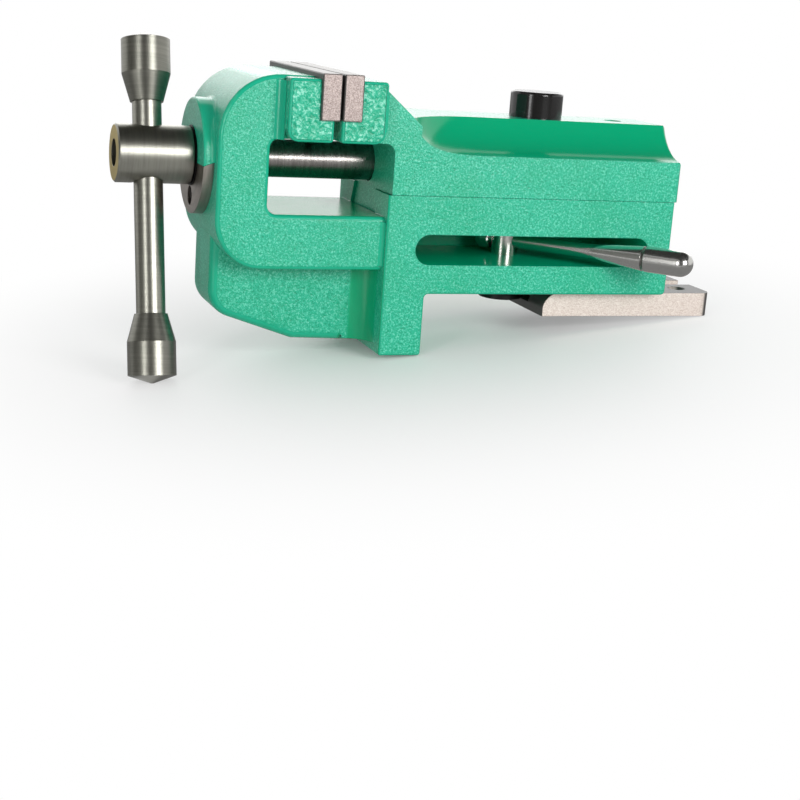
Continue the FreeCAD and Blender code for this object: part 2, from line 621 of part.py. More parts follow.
# ---- Sliding jaw and what it carries -----------------------------------------------------------
def cove_cutter(side):
    """Cutter of one cove: a hollow section swept along the ridge, running out at the ramp."""
    ridge = RIDGE_WIDTH / 2
    half = BODY_WIDTH / 2
    rise = SLIDE_TOP - COVE_LOW
    chord = math.hypot(half - ridge, rise)
    middle = V(0, (ridge + half) / 2, (SLIDE_TOP + COVE_LOW) / 2)
    inward = V(0, -rise / chord, -(half - ridge) / chord)
    dip = middle + inward * COVE_SAG
    ramp_end = SLIDE_TOP_X
    start_x = ramp_end + COVE_RUNOUT
    shift = half - ridge
    sweep_radius = (COVE_RUNOUT ** 2 + shift ** 2) / (2 * shift)
    outside = half + 6.0
    above = SLIDE_TOP + 12.0

    def at(x, y, z):
        return V(x, side * y, z)

    edges = [
        Part.Arc(at(SLIDE_REAR + 2, ridge, SLIDE_TOP), at(SLIDE_REAR + 2, dip.y, dip.z),
                 at(SLIDE_REAR + 2, half, COVE_LOW)).toShape(),
        Part.LineSegment(at(SLIDE_REAR + 2, half, COVE_LOW), at(SLIDE_REAR + 2, outside, COVE_LOW)).toShape(),
        Part.LineSegment(at(SLIDE_REAR + 2, outside, COVE_LOW), at(SLIDE_REAR + 2, outside, above)).toShape(),
        Part.LineSegment(at(SLIDE_REAR + 2, outside, above), at(SLIDE_REAR + 2, ridge, above)).toShape(),
        Part.LineSegment(at(SLIDE_REAR + 2, ridge, above), at(SLIDE_REAR + 2, ridge, SLIDE_TOP)).toShape(),
    ]
    section = Part.Wire(edges)
    turn = math.asin(COVE_RUNOUT / sweep_radius) / 2
    path = Part.Wire([
        Part.LineSegment(at(SLIDE_REAR + 2, ridge, SLIDE_TOP), at(start_x, ridge, SLIDE_TOP)).toShape(),
        Part.Arc(at(start_x, ridge, SLIDE_TOP),
                 at(start_x - sweep_radius * math.sin(turn),
                    ridge + sweep_radius * (1 - math.cos(turn)), SLIDE_TOP),
                 at(ramp_end, half, SLIDE_TOP)).toShape(),
    ])
    shell = Part.BRepOffsetAPI.MakePipeShell(path)
    shell.setTrihedronMode(V(0, 0, 0), V(0, 0, 1))
    shell.add(section)
    shell.build()
    shell.makeSolid()
    return shell.shape()


def sliding_jaw():
    """Sliding casting: coved ridge, ramp, jaw block and dovetail tongue."""
    half = BODY_WIDTH / 2
    ridge = box(SLIDE_FRONT, SLIDE_REAR, -half, half, SLIDE_BASE, SLIDE_TOP)
    for side in (-1, 1):
        ridge = ridge.cut(cove_cutter(side))
    rim = [edge for edge in edges_on(ridge, lambda p: p.x > SLIDE_REAR - 1e-3)
           if any(v.Point.z > SLIDE_BASE + 1e-3 for v in edge.Vertexes)]
    ridge = ridge.makeChamfer(SLIDE_RIM, rim)
    under = BODY_Z + JAW_UNDER
    ramp_foot = SLIDE_TOP_X + RAMP_ROOT
    slope = math.tan(math.radians(RAMP_ANGLE))
    web_corners = [
        (SLIDE_FRONT, SLIDE_BASE, 0), (ramp_foot, SLIDE_BASE, 0),
        (ramp_foot, SLIDE_TOP - RAMP_ROOT * slope, 0), (REAR_JAW_BACK, SLIDE_TOP + RAMP_RISE, 0),
        (REAR_FACE_X + JAW_PLATE_THICK, SLIDE_TOP + RAMP_RISE, 0),
        (REAR_FACE_X + JAW_PLATE_THICK, under, 0), (SLIDE_FRONT, under, WINDOW_ROUND),
    ]
    web = side_prism(web_corners, BODY_WIDTH)
    jaw = jaw_block(REAR_FACE_X + REAR_JAW_SETBACK, REAR_JAW_BACK, 1)
    tongue = dovetail(SLIDE_FRONT, SLIDE_REAR, 0.0)
    body = ridge.multiFuse([web, jaw, tongue])
    body = body.fuse(side_fillets(REAR_JAW_BACK, JAW_RAMP_HOLLOW, half - 0.01, under + JAW_CORNER,
                                  SLIDE_TOP + RAMP_RISE - JAW_RAMP_HOLLOW, 1))
    cuts = [
        box(REAR_FACE_X - 1, REAR_FACE_X + JAW_PLATE_THICK, -JAW_WIDTH, JAW_WIDTH,
            JAW_SEAT_Z, BODY_Z + JAW_TOP + 5),
        rod(SPINDLE_RADIUS + FREE_BORE, V(SLIDE_FRONT - 1, 0, SPINDLE_Z), X_AXIS,
            BUTTON_X - SLIDE_FRONT + 1),
        rod(PLUG_RADIUS + BUTTON_CLEAR, V(BUTTON_X, 0, SPINDLE_Z), X_AXIS, SLIDE_REAR - BUTTON_X + 1),
        rod(BUTTON_RADIUS + BUTTON_CLEAR, V(BUTTON_X, 0, BODY_Z + POCKET_FLOOR), Z_AXIS,
            SLIDE_TOP - BODY_Z - POCKET_FLOOR + 1),
        rod(GRUB_RADIUS, V(BLOCK_REAR - GRUB_INSET, 0, SPINDLE_Z), Z_AXIS, SLIDE_TOP - SPINDLE_Z + 1),
    ]
    for y in jaw_screw_places():
        cuts.append(rod(SCREW_SHANK, V(REAR_FACE_X + JAW_PLATE_THICK - 1, y, jaw_screw_z()),
                        X_AXIS, SCREW_REACH + 1))
    for cut in cuts:
        body = body.cut(cut)
    return one_solid(body)


def release_button():
    """Push button on top of the half nut."""
    start = V(BUTTON_X, 0, SLIDE_TOP - BUTTON_FOOT)
    height = BUTTON_HEIGHT + BUTTON_FOOT
    cap = rod(BUTTON_RADIUS, start, Z_AXIS, height)
    return cap.makeFillet(BUTTON_EDGE, rims_at(cap, start, Z_AXIS, height))


def half_nut():
    """Sprung plunger whose cross slot carries the half thread under the spindle."""
    top = SLIDE_TOP - BUTTON_FOOT
    floor = BODY_Z + NUT_FLOOR
    plunger = rod(BUTTON_RADIUS, V(BUTTON_X, 0, floor), Z_AXIS, top - floor)
    bore = SPINDLE_RADIUS + RUNNING
    rise = BUTTON_TRAVEL + NUT_SPARE
    start = BUTTON_X - BUTTON_RADIUS - 1
    length = 2 * BUTTON_RADIUS + 2
    low = rod(bore, V(start, 0, SPINDLE_Z), X_AXIS, length)
    high = rod(bore, V(start, 0, SPINDLE_Z + rise), X_AXIS, length)
    middle = box(start, start + length, -bore, bore, SPINDLE_Z, SPINDLE_Z + rise)
    return one_solid(plunger.cut(low.fuse(middle).fuse(high)))


def button_spring():
    """Conical coil spring under the half nut; its turns nest when it is pressed flat."""
    floor = BODY_Z + POCKET_FLOOR + SPRING_WIRE + SPRING_SEAT
    height = NUT_FLOOR - POCKET_FLOOR - 2 * (SPRING_WIRE + SPRING_SEAT)
    cone = math.degrees(math.atan2(SPRING_CROWN - SPRING_FOOT, height))
    helix = Part.makeHelix(height / SPRING_TURNS, height, SPRING_FOOT, cone)
    corners = [V(SPRING_FOOT + u * SPRING_WIRE, 0, v * SPRING_WIRE)
               for u, v in ((-1, -1), (1, -1), (1, 1), (-1, 1), (-1, -1))]
    coil = Part.Wire(helix.Edges).makePipeShell([Part.makePolygon(corners)], True, True)
    coil.translate(V(BUTTON_X, 0, floor))
    return coil


def rear_plug():
    """Cup that closes the slide's rear bore and guides the spindle's end."""
    rear = SLIDE_REAR - PLUG_RECESS
    start = V(rear - PLUG_LENGTH, 0, SPINDLE_Z)
    plug = rod(PLUG_RADIUS, start, X_AXIS, PLUG_LENGTH)
    depth = BLOCK_REAR - SPINDLE_TIP_INSET + JAW_GAP - start.x + FREE_BORE
    plug = plug.cut(rod(SPINDLE_RADIUS + FREE_BORE, start - X_AXIS, X_AXIS, depth + 1))
    return plug


def grub_screw():
    """Socket grub screw that holds the rear plug."""
    low = SPINDLE_Z + PLUG_RADIUS
    high = SLIDE_TOP - GRUB_SINK
    place = V(BLOCK_REAR - GRUB_INSET, 0, low)
    screw = rod(GRUB_RADIUS - TAPPED, place, Z_AXIS, high - low)
    socket = place + Z_AXIS * (high - low - GRUB_SOCKET_DEPTH)
    return screw.cut(hexagon(GRUB_SOCKET, socket, Z_AXIS, GRUB_SOCKET_DEPTH + 1))


# ---- Spindle and handle ------------------------------------------------------------------------
def bar_axis():
    """Unit vector along the handle bar, pointing up."""
    angle = math.radians(BAR_ANGLE)
    return V(0, math.sin(angle), math.cos(angle))


def spindle():
    """Spindle with its collar and the stub inside the head."""
    x0 = THRUST_FACE - STUB_LENGTH
    tip = BLOCK_REAR - SPINDLE_TIP_INSET
    profile = [
        (x0, 0), (x0, STUB_RADIUS), (THRUST_FACE, STUB_RADIUS), (THRUST_FACE, SPINDLE_RADIUS),
        (COLLAR_FRONT, SPINDLE_RADIUS), (COLLAR_FRONT, COLLAR_RADIUS),
        (COLLAR_REAR - 0.1, COLLAR_RADIUS), (COLLAR_REAR - 0.1, SPINDLE_RADIUS),
        (tip - 1.0, SPINDLE_RADIUS), (tip, SPINDLE_RADIUS - 1.0), (tip, 0),
    ]
    return turned(profile, V(0, 0, SPINDLE_Z), X_AXIS)


def spindle_head():
    """Cylinder that carries the handle bar."""
    outer = [
        (HEAD_FRONT, 0), (HEAD_FRONT, HEAD_RADIUS - HEAD_CHAMFER), (HEAD_FRONT + HEAD_CHAMFER, HEAD_RADIUS),
        (THRUST_FACE - HEAD_CHAMFER, HEAD_RADIUS), (THRUST_FACE, HEAD_RADIUS - HEAD_CHAMFER),
        (THRUST_FACE, 0),
    ]
    head = turned(outer, V(0, 0, SPINDLE_Z), X_AXIS)
    head = head.cut(rod(STUB_RADIUS, V(THRUST_FACE - STUB_LENGTH, 0, SPINDLE_Z), X_AXIS, STUB_LENGTH + 1))
    head = head.cut(rod(HEAD_BORE_RADIUS, V(HEAD_FRONT - 1, 0, SPINDLE_Z), X_AXIS,
                        BAR_X - HEAD_FRONT + 1))
    axis = bar_axis()
    centre = V(BAR_X, 0, SPINDLE_Z)
    reach = HEAD_RADIUS + 2
    bore = BAR_RADIUS + BAR_CLEAR
    head = head.cut(rod(bore, centre - axis * reach, axis, 2 * reach))
    for side in (-1, 1):
        start = centre + axis * side * (HEAD_RADIUS - HEAD_MOUTH)
        head = head.cut(Part.makeCone(bore, bore + HEAD_MOUTH + 0.2, HEAD_MOUTH + 0.2, start, axis * side))
    return one_solid(head)


def friction_screw():
    """Grub screw that presses on the bar from the head's end."""
    start = V(HEAD_FRONT + FRICTION_SCREW_DEPTH, 0, SPINDLE_Z)
    length = BAR_X - BAR_RADIUS - BAR_CLEAR - start.x - JOINT_GAP
    screw = rod(HEAD_BORE_RADIUS - TAPPED, start, X_AXIS, length)
    return screw.cut(hexagon(SOCKET_RADIUS, start - X_AXIS, X_AXIS, SOCKET_DEPTH))


def thrust_washer():
    """Thin dark washer between the head and the boss."""
    x0 = THRUST_FACE
    washer = rod(THRUST_RADIUS, V(x0, 0, SPINDLE_Z), X_AXIS, THRUST_THICK - 2 * JOINT_GAP)
    return washer.cut(rod(SPINDLE_RADIUS + TAPPED, V(x0 - 1, 0, SPINDLE_Z), X_AXIS, THRUST_THICK + 2))


def handle_bar():
    """Plain bar through the head, with a spigot in each knob."""
    axis = bar_axis()
    middle = V(BAR_X, 0, SPINDLE_Z) - axis * BAR_DROP
    half = BAR_LENGTH / 2
    tip = half + KNOB_CONE
    return turned([(-tip, 0), (-tip, BAR_SPIGOT), (-half, BAR_SPIGOT), (-half, BAR_RADIUS),
                   (half, BAR_RADIUS), (half, BAR_SPIGOT), (tip, BAR_SPIGOT), (tip, 0)], middle, axis)


def handle_knob(side):
    """Knob at one end of the bar: cone, cylinder and shallow pointed end."""
    axis = bar_axis() * side
    start = V(BAR_X, 0, SPINDLE_Z) - bar_axis() * BAR_DROP + axis * (BAR_LENGTH / 2)
    end = KNOB_CONE + KNOB_LENGTH
    knob = turned([(0, 0), (0, KNOB_NECK), (KNOB_CONE, KNOB_RADIUS), (end, KNOB_RADIUS),
                   (end + KNOB_TIP, KNOB_POINT), (end + KNOB_TIP, 0)], start, axis)
    return knob.cut(rod(BAR_SPIGOT, start - axis, axis, KNOB_CONE + 1))


# ---- Lever lock and bench plate ----------------------------------------------------------------
def lever_axis():
    """Unit vector along the lever, pointing to its handle."""
    angle = math.radians(LEVER_ANGLE)
    return V(math.cos(angle), -math.sin(angle), 0)


def post_nut():
    """Upright post turned by the lever; it is the nut of the T-bolt."""
    low = BODY_Z + POST_FOOT + POST_PLAY
    high = BODY_Z + SLOT_FLOOR + SLOT_HEIGHT - POST_PLAY
    bore_top = LEVER_Z - LEVER_ROD - BOLT_WALL
    post = rod(POST_RADIUS, V(POST_X, 0, low), Z_AXIS, high - low)
    post = post.cut(rod(BOLT_RADIUS + RUNNING, V(POST_X, 0, low - 1), Z_AXIS, bore_top - low + 1))
    axis = lever_axis()
    start = V(POST_X, 0, LEVER_Z) - axis * 2 * POST_RADIUS
    return one_solid(post.cut(rod(LEVER_ROD, start, axis, 4 * POST_RADIUS)))


def t_bolt():
    """Clamp bolt: round head in the plate's T-slot, neck through the body, shank in the post."""
    low = PLATE_THICK - SLOT_LIP - BOLT_RISE - BOLT_HEAD_HEIGHT
    top = low + BOLT_HEAD_HEIGHT
    rim = BOLT_HEAD_RADIUS - BOLT_HEAD_EDGE
    neck_top = BODY_Z + POST_FOOT - BOLT_RISE
    tip = LEVER_Z - LEVER_ROD - BOLT_WALL - BOLT_RISE
    return turned([(low, 0), (low, rim), (low + BOLT_HEAD_EDGE, BOLT_HEAD_RADIUS),
                   (top - BOLT_HEAD_EDGE, BOLT_HEAD_RADIUS), (top, rim), (top, BOLT_NECK),
                   (neck_top, BOLT_NECK), (neck_top, BOLT_RADIUS), (tip, BOLT_RADIUS), (tip, 0)],
                  V(POST_X, 0, 0), Z_AXIS)


def lever_rod():
    """Lever with its taper up to the handle's shoulder."""
    inner_end = POST_RADIUS + LEVER_KNOB_LENGTH - LEVER_KNOB_WALL
    shoulder = LEVER_TAPER_END - GROOVE
    tip = LEVER_TAPER_END + LEVER_SPIGOT
    return turned([(-inner_end, 0), (-inner_end, LEVER_ROD), (LEVER_TAPER_START, LEVER_ROD),
                   (shoulder, LEVER_RADIUS - POST_PLAY), (shoulder, LEVER_ROD), (tip, LEVER_ROD), (tip, 0)],
                  V(POST_X, 0, LEVER_Z), lever_axis())


def lever_handle():
    """Round-ended handle on the lever's spigot."""
    axis = lever_axis()
    start = V(POST_X, 0, LEVER_Z) + axis * LEVER_TAPER_END
    straight = LEVER_LENGTH - LEVER_TAPER_END - LEVER_RADIUS
    body = one_solid(rod(LEVER_RADIUS, start, axis, straight).fuse(
        Part.makeSphere(LEVER_RADIUS, start + axis * straight)))
    body = body.makeChamfer(HANDLE_EDGE, rims_at(body, start, axis, 0.0))
    return body.cut(rod(LEVER_ROD, start - axis, axis, LEVER_SPIGOT + 1))


def lever_knob():
    """Rounded knob on the lever's inner end, tight against the post."""
    axis = lever_axis() * -1
    start = V(POST_X, 0, LEVER_Z) + axis * (POST_RADIUS + POST_PLAY)
    knob = rod(LEVER_KNOB_RADIUS, start, axis, LEVER_KNOB_LENGTH)
    knob = knob.makeFillet(LEVER_KNOB_ROUND, rims_at(knob, start, axis, LEVER_KNOB_LENGTH))
    knob = knob.makeChamfer(LEVER_KNOB_EDGE, rims_at(knob, start, axis, 0.0))
    return knob.cut(rod(LEVER_ROD, start - axis, axis, LEVER_KNOB_LENGTH - LEVER_KNOB_WALL - POST_PLAY + 1))


def bench_plate():
    """Bench plate: rounded front end, T-slot along its middle and two countersunk screw holes."""
    half_length = PLATE_LENGTH / 2
    half_width = PLATE_WIDTH / 2
    bar = side_prism([(-half_length, 0, 0), (half_length, 0, 0), (half_length, PLATE_THICK, 0),
                      (-half_length, PLATE_THICK, PLATE_FRONT_ROUND)], PLATE_WIDTH)
    plan = plan_prism([(-half_length, -half_width, PLATE_EDGE), (half_length, -half_width, PLATE_CORNER),
                       (half_length, half_width, PLATE_CORNER), (-half_length, half_width, PLATE_EDGE)],
                      -1, PLATE_THICK + 1)
    plate = bar.common(plan)
    ends = (-half_length - 1, half_length + 1)
    lip = PLATE_THICK - SLOT_LIP
    cuts = [
        box(*ends, -SLOT_NECK / 2, SLOT_NECK / 2, lip - 1, PLATE_THICK + 1),
        box(*ends, -SLOT_WIDE / 2, SLOT_WIDE / 2, SLOT_BED, lip),
    ]
    sink = PLATE_HOLE_MOUTH - PLATE_HOLE_RADIUS
    for side in (-1, 1):
        place = V(half_length - PLATE_HOLE_INSET, side * PLATE_HOLE_SPREAD / 2, 0)
        cuts.append(rod(PLATE_HOLE_RADIUS, place - Z_AXIS, Z_AXIS, PLATE_THICK + 2))
        cuts.append(Part.makeCone(PLATE_HOLE_RADIUS, PLATE_HOLE_MOUTH + 0.1, sink + 0.1,
                                  place + Z_AXIS * (PLATE_THICK - sink), Z_AXIS))
    for cut in cuts:
        plate = plate.cut(cut)
    return one_solid(plate)


# ---- Output ------------------------------------------------------------------------------------
def build():
    """Every node by name."""
    return {
        "base_casting": base_casting(),
        "name_plate": name_plate(),
        "keeper_plate": keeper_plate(),
        "keeper_screw": keeper_screw(),
        "spindle_bush": spindle_bush(),
        "front_jaw_plate": jaw_plate(FRONT_FACE_X, -1),
        "front_jaw_screws": jaw_screws(FRONT_FACE_X, -1),
        "sliding_jaw": sliding_jaw(),
        "rear_jaw_plate": jaw_plate(REAR_FACE_X, 1),
        "rear_jaw_screws": jaw_screws(REAR_FACE_X, 1),
        "rear_plug": rear_plug(),
        "grub_screw": grub_screw(),
        "release_button": release_button(),
        "half_nut": half_nut(),
        "button_spring": button_spring(),
        "spindle": spindle(),
        "spindle_head": spindle_head(),
        "friction_screw": friction_screw(),
        "thrust_washer": thrust_washer(),
        "handle_bar": handle_bar(),
        "handle_knob_upper": handle_knob(1),
        "handle_knob_lower": handle_knob(-1),
        "post_nut": post_nut(),
        "t_bolt": t_bolt(),
        "lever_rod": lever_rod(),
        "lever_handle": lever_handle(),
        "lever_knob": lever_knob(),
        "bench_plate": bench_plate(),
    }


os.makedirs("parts", exist_ok=True)
for node, shape in build().items():
    shape.exportStep(f"parts/{node}.step")
    solids = shape.Solids
    box_now = shape.BoundBox
    print(f"{node:20s} solids {len(solids)} valid {shape.isValid()} volume {shape.Volume:10.1f} "
          f"x {box_now.XMin:7.1f}..{box_now.XMax:7.1f} y {box_now.YMin:6.1f}..{box_now.YMax:6.1f} "
          f"z {box_now.ZMin:6.1f}..{box_now.ZMax:6.1f}")
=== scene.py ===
"""Looks of a small jeweller's bench vise: hammered green enamel, bare steel, a gloss button."""
from __future__ import annotations

import json
import logging
import math
from collections.abc import Callable
from dataclasses import dataclass
from enum import Enum

import bpy
from mathutils import Matrix, Vector

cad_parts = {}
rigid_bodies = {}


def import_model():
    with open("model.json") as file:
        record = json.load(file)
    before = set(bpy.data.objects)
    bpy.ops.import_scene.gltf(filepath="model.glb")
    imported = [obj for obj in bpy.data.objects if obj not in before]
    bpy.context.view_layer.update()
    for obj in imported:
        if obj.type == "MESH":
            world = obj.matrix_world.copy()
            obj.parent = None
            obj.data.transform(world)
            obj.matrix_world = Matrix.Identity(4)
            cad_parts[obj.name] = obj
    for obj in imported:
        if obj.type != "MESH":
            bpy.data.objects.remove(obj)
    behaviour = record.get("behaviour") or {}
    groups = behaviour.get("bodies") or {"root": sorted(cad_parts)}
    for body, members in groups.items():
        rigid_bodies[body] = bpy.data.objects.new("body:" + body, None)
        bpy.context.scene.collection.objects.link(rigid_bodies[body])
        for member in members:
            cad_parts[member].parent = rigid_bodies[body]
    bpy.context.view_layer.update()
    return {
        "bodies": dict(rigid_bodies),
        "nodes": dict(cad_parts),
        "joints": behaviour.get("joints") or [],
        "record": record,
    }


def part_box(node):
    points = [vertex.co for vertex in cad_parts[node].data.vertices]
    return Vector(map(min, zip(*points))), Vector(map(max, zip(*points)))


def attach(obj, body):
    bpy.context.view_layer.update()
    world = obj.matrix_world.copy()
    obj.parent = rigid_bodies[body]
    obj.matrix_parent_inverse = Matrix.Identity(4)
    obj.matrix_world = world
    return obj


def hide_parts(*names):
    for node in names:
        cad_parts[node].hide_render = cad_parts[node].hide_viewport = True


Value = object                     # a number, a colour, a vector or a node socket
Colour = tuple[float, float, float, float]
Point = tuple[float, float, float]
Span = tuple[float, float]
Box = tuple[Point, Point]          # low and high corner

LOG = logging.getLogger("vise")
MM = 0.001
ALONG = (1.0, 0.0, 0.0)            # the spindle's direction
UPWARD = (0.0, 0.0, 1.0)
BAR_LEAN = math.radians(15.0)      # the handle bar's lean from upright
MERGE = 0.002 * MM                 # vertices nearer than this become one
SMOOTH = math.radians(32.0)        # faces at less than this are shaded as one
FRAME: dict = {}


class Graph:
    """A node tree being wired; every call adds nodes and gives back their result."""

    def __init__(self, tree: bpy.types.NodeTree) -> None:
        """Start from a tree.

        Args:
            tree: the material's, the group's or the world's node tree.
        """
        self.tree = tree

    def node(self, kind: str, **settings: Value) -> bpy.types.Node:
        """Add a node and set its properties.

        Args:
            kind: the node's class name.
            settings: properties of the node.

        Returns:
            The new node.
        """
        node = self.tree.nodes.new(kind)
        for name, value in settings.items():
            setattr(node, name, value)
        return node

    def feed(self, socket: bpy.types.NodeSocket, value: Value) -> None:
        """Link an output to a socket, or write a plain value on it.

        Args:
            socket: the input socket.
            value: an output socket, a number or a tuple.
        """
        if isinstance(value, bpy.types.NodeSocket):
            self.tree.links.new(value, socket)
        else:
            socket.default_value = value

    def own(self, output: str = "Object") -> Value:
        """The point or the normal in the piece's own axes."""
        return self.node("ShaderNodeTexCoord").outputs[output]

    def math(self, operation: str, first: Value, *others: Value) -> Value:
        """Scalar arithmetic, from left to right.

        Args:
            operation: name of the Math node's operation.
            first: first number.
            others: the numbers after it; none where the operation takes one.

        Returns:
            The result's socket.
        """
        result = first
        for other in others or (0.0,):
            node = self.node("ShaderNodeMath", operation=operation)
            self.feed(node.inputs[0], result)
            self.feed(node.inputs[1], other)
            result = node.outputs[0]
        return result

    def times(self, first: Value, *others: Value) -> Value:
        """Product of some numbers."""
        return self.math("MULTIPLY", first, *others)

    def most(self, first: Value, *others: Value) -> Value:
        """Largest of some numbers."""
        return self.math("MAXIMUM", first, *others)

    def vector(self, operation: str, first: Value, second: Value = (0.0, 0.0, 0.0)) -> Value:
        """Vector arithmetic.

        Args:
            operation: name of the Vector Math node's operation.
            first: first vector.
            second: second vector.

        Returns:
            The result's socket, a number for a length or a dot product.
        """
        node = self.node("ShaderNodeVectorMath", operation=operation)
        self.feed(node.inputs[0], first)
        self.feed(node.inputs[1], second)
        return node.outputs["Value" if operation in ("LENGTH", "DOT_PRODUCT") else "Vector"]

    def scaled(self, vector: Value, scale: Value) -> Value:
        """A vector times a number.

        Args:
            vector: the vector.
            scale: the number.

        Returns:
            The scaled vector's socket.
        """
        node = self.node("ShaderNodeVectorMath", operation="SCALE")
        self.feed(node.inputs[0], vector)
        self.feed(node.inputs["Scale"], scale)
        return node.outputs[0]

    def parts(self, vector: Value) -> tuple[Value, Value, Value]:
        """The x, y and z of a vector.

        Args:
            vector: the vector.

        Returns:
            Three sockets.
        """
        node = self.node("ShaderNodeSeparateXYZ")
        self.feed(node.inputs[0], vector)
        return node.outputs[0], node.outputs[1], node.outputs[2]

    def step(self, value: Value, low: float, high: float) -> Value:
        """A smooth rise from 0 to 1.

        Args:
            value: what is tested.
            low: where the rise starts.
            high: where it ends; below low, it falls instead.

        Returns:
            The mask's socket.
        """
        node = self.node("ShaderNodeMapRange", interpolation_type="SMOOTHSTEP")
        self.feed(node.inputs["Value"], value)
        for end, (edge, result) in zip(("Min", "Max"), sorted(((low, 0.0), (high, 1.0)))):
            node.inputs[f"From {end}"].default_value = edge
            node.inputs[f"To {end}"].default_value = result
        return node.outputs[0]

    def spread(self, value: Value, low: Value, high: Value) -> Value:
        """A number from 0 to 1 spread over a range.

        Args:
            value: the number.
            low: result at 0.
            high: result at 1.

        Returns:
            The result's socket.
        """
        node = self.node("ShaderNodeMapRange")
        self.feed(node.inputs["Value"], value)
        self.feed(node.inputs["To Min"], low)
        self.feed(node.inputs["To Max"], high)
        return node.outputs[0]

    def noise(self, vector: Value, scale: Value, detail: float = 2.0, rough: float = 0.5) -> Value:
        """Fractal noise from 0 to 1.

        Args:
            vector: where it is read.
            scale: lumps per unit.
            detail: octaves.
            rough: strength of the finer octaves.

        Returns:
            The noise's socket.
        """
        node = self.node("ShaderNodeTexNoise")
        self.feed(node.inputs["Vector"], vector)
        self.feed(node.inputs["Scale"], scale)
        node.inputs["Detail"].default_value = detail
        node.inputs["Roughness"].default_value = rough
        return node.outputs["Fac"]

    def mix(self, share: Value, first: Value, second: Value) -> Value:
        """Mix of two colours.

        Args:
            share: share of the second colour.
            first: first colour.
            second: second colour.

        Returns:
            The colour's socket.
        """
        node = self.node("ShaderNodeMix", data_type="RGBA")
        self.feed(node.inputs[0], share)
        self.feed(node.inputs[6], first)
        self.feed(node.inputs[7], second)
        return node.outputs[2]

    def bump(self, height: Value, depth: Value, normal: Value, strength: float = 1.0) -> Value:
        """Normal tilted by a height.

        Args:
            height: the height, from 0 to 1.
            depth: its size in metres.
            normal: the normal under it.
            strength: share of the effect.

        Returns:
            The normal's socket.
        """
        node = self.node("ShaderNodeBump")
        node.inputs["Strength"].default_value = strength
        self.feed(node.inputs["Distance"], depth)
        self.feed(node.inputs["Height"], height)
        self.feed(node.inputs["Normal"], normal)
        return node.outputs[0]


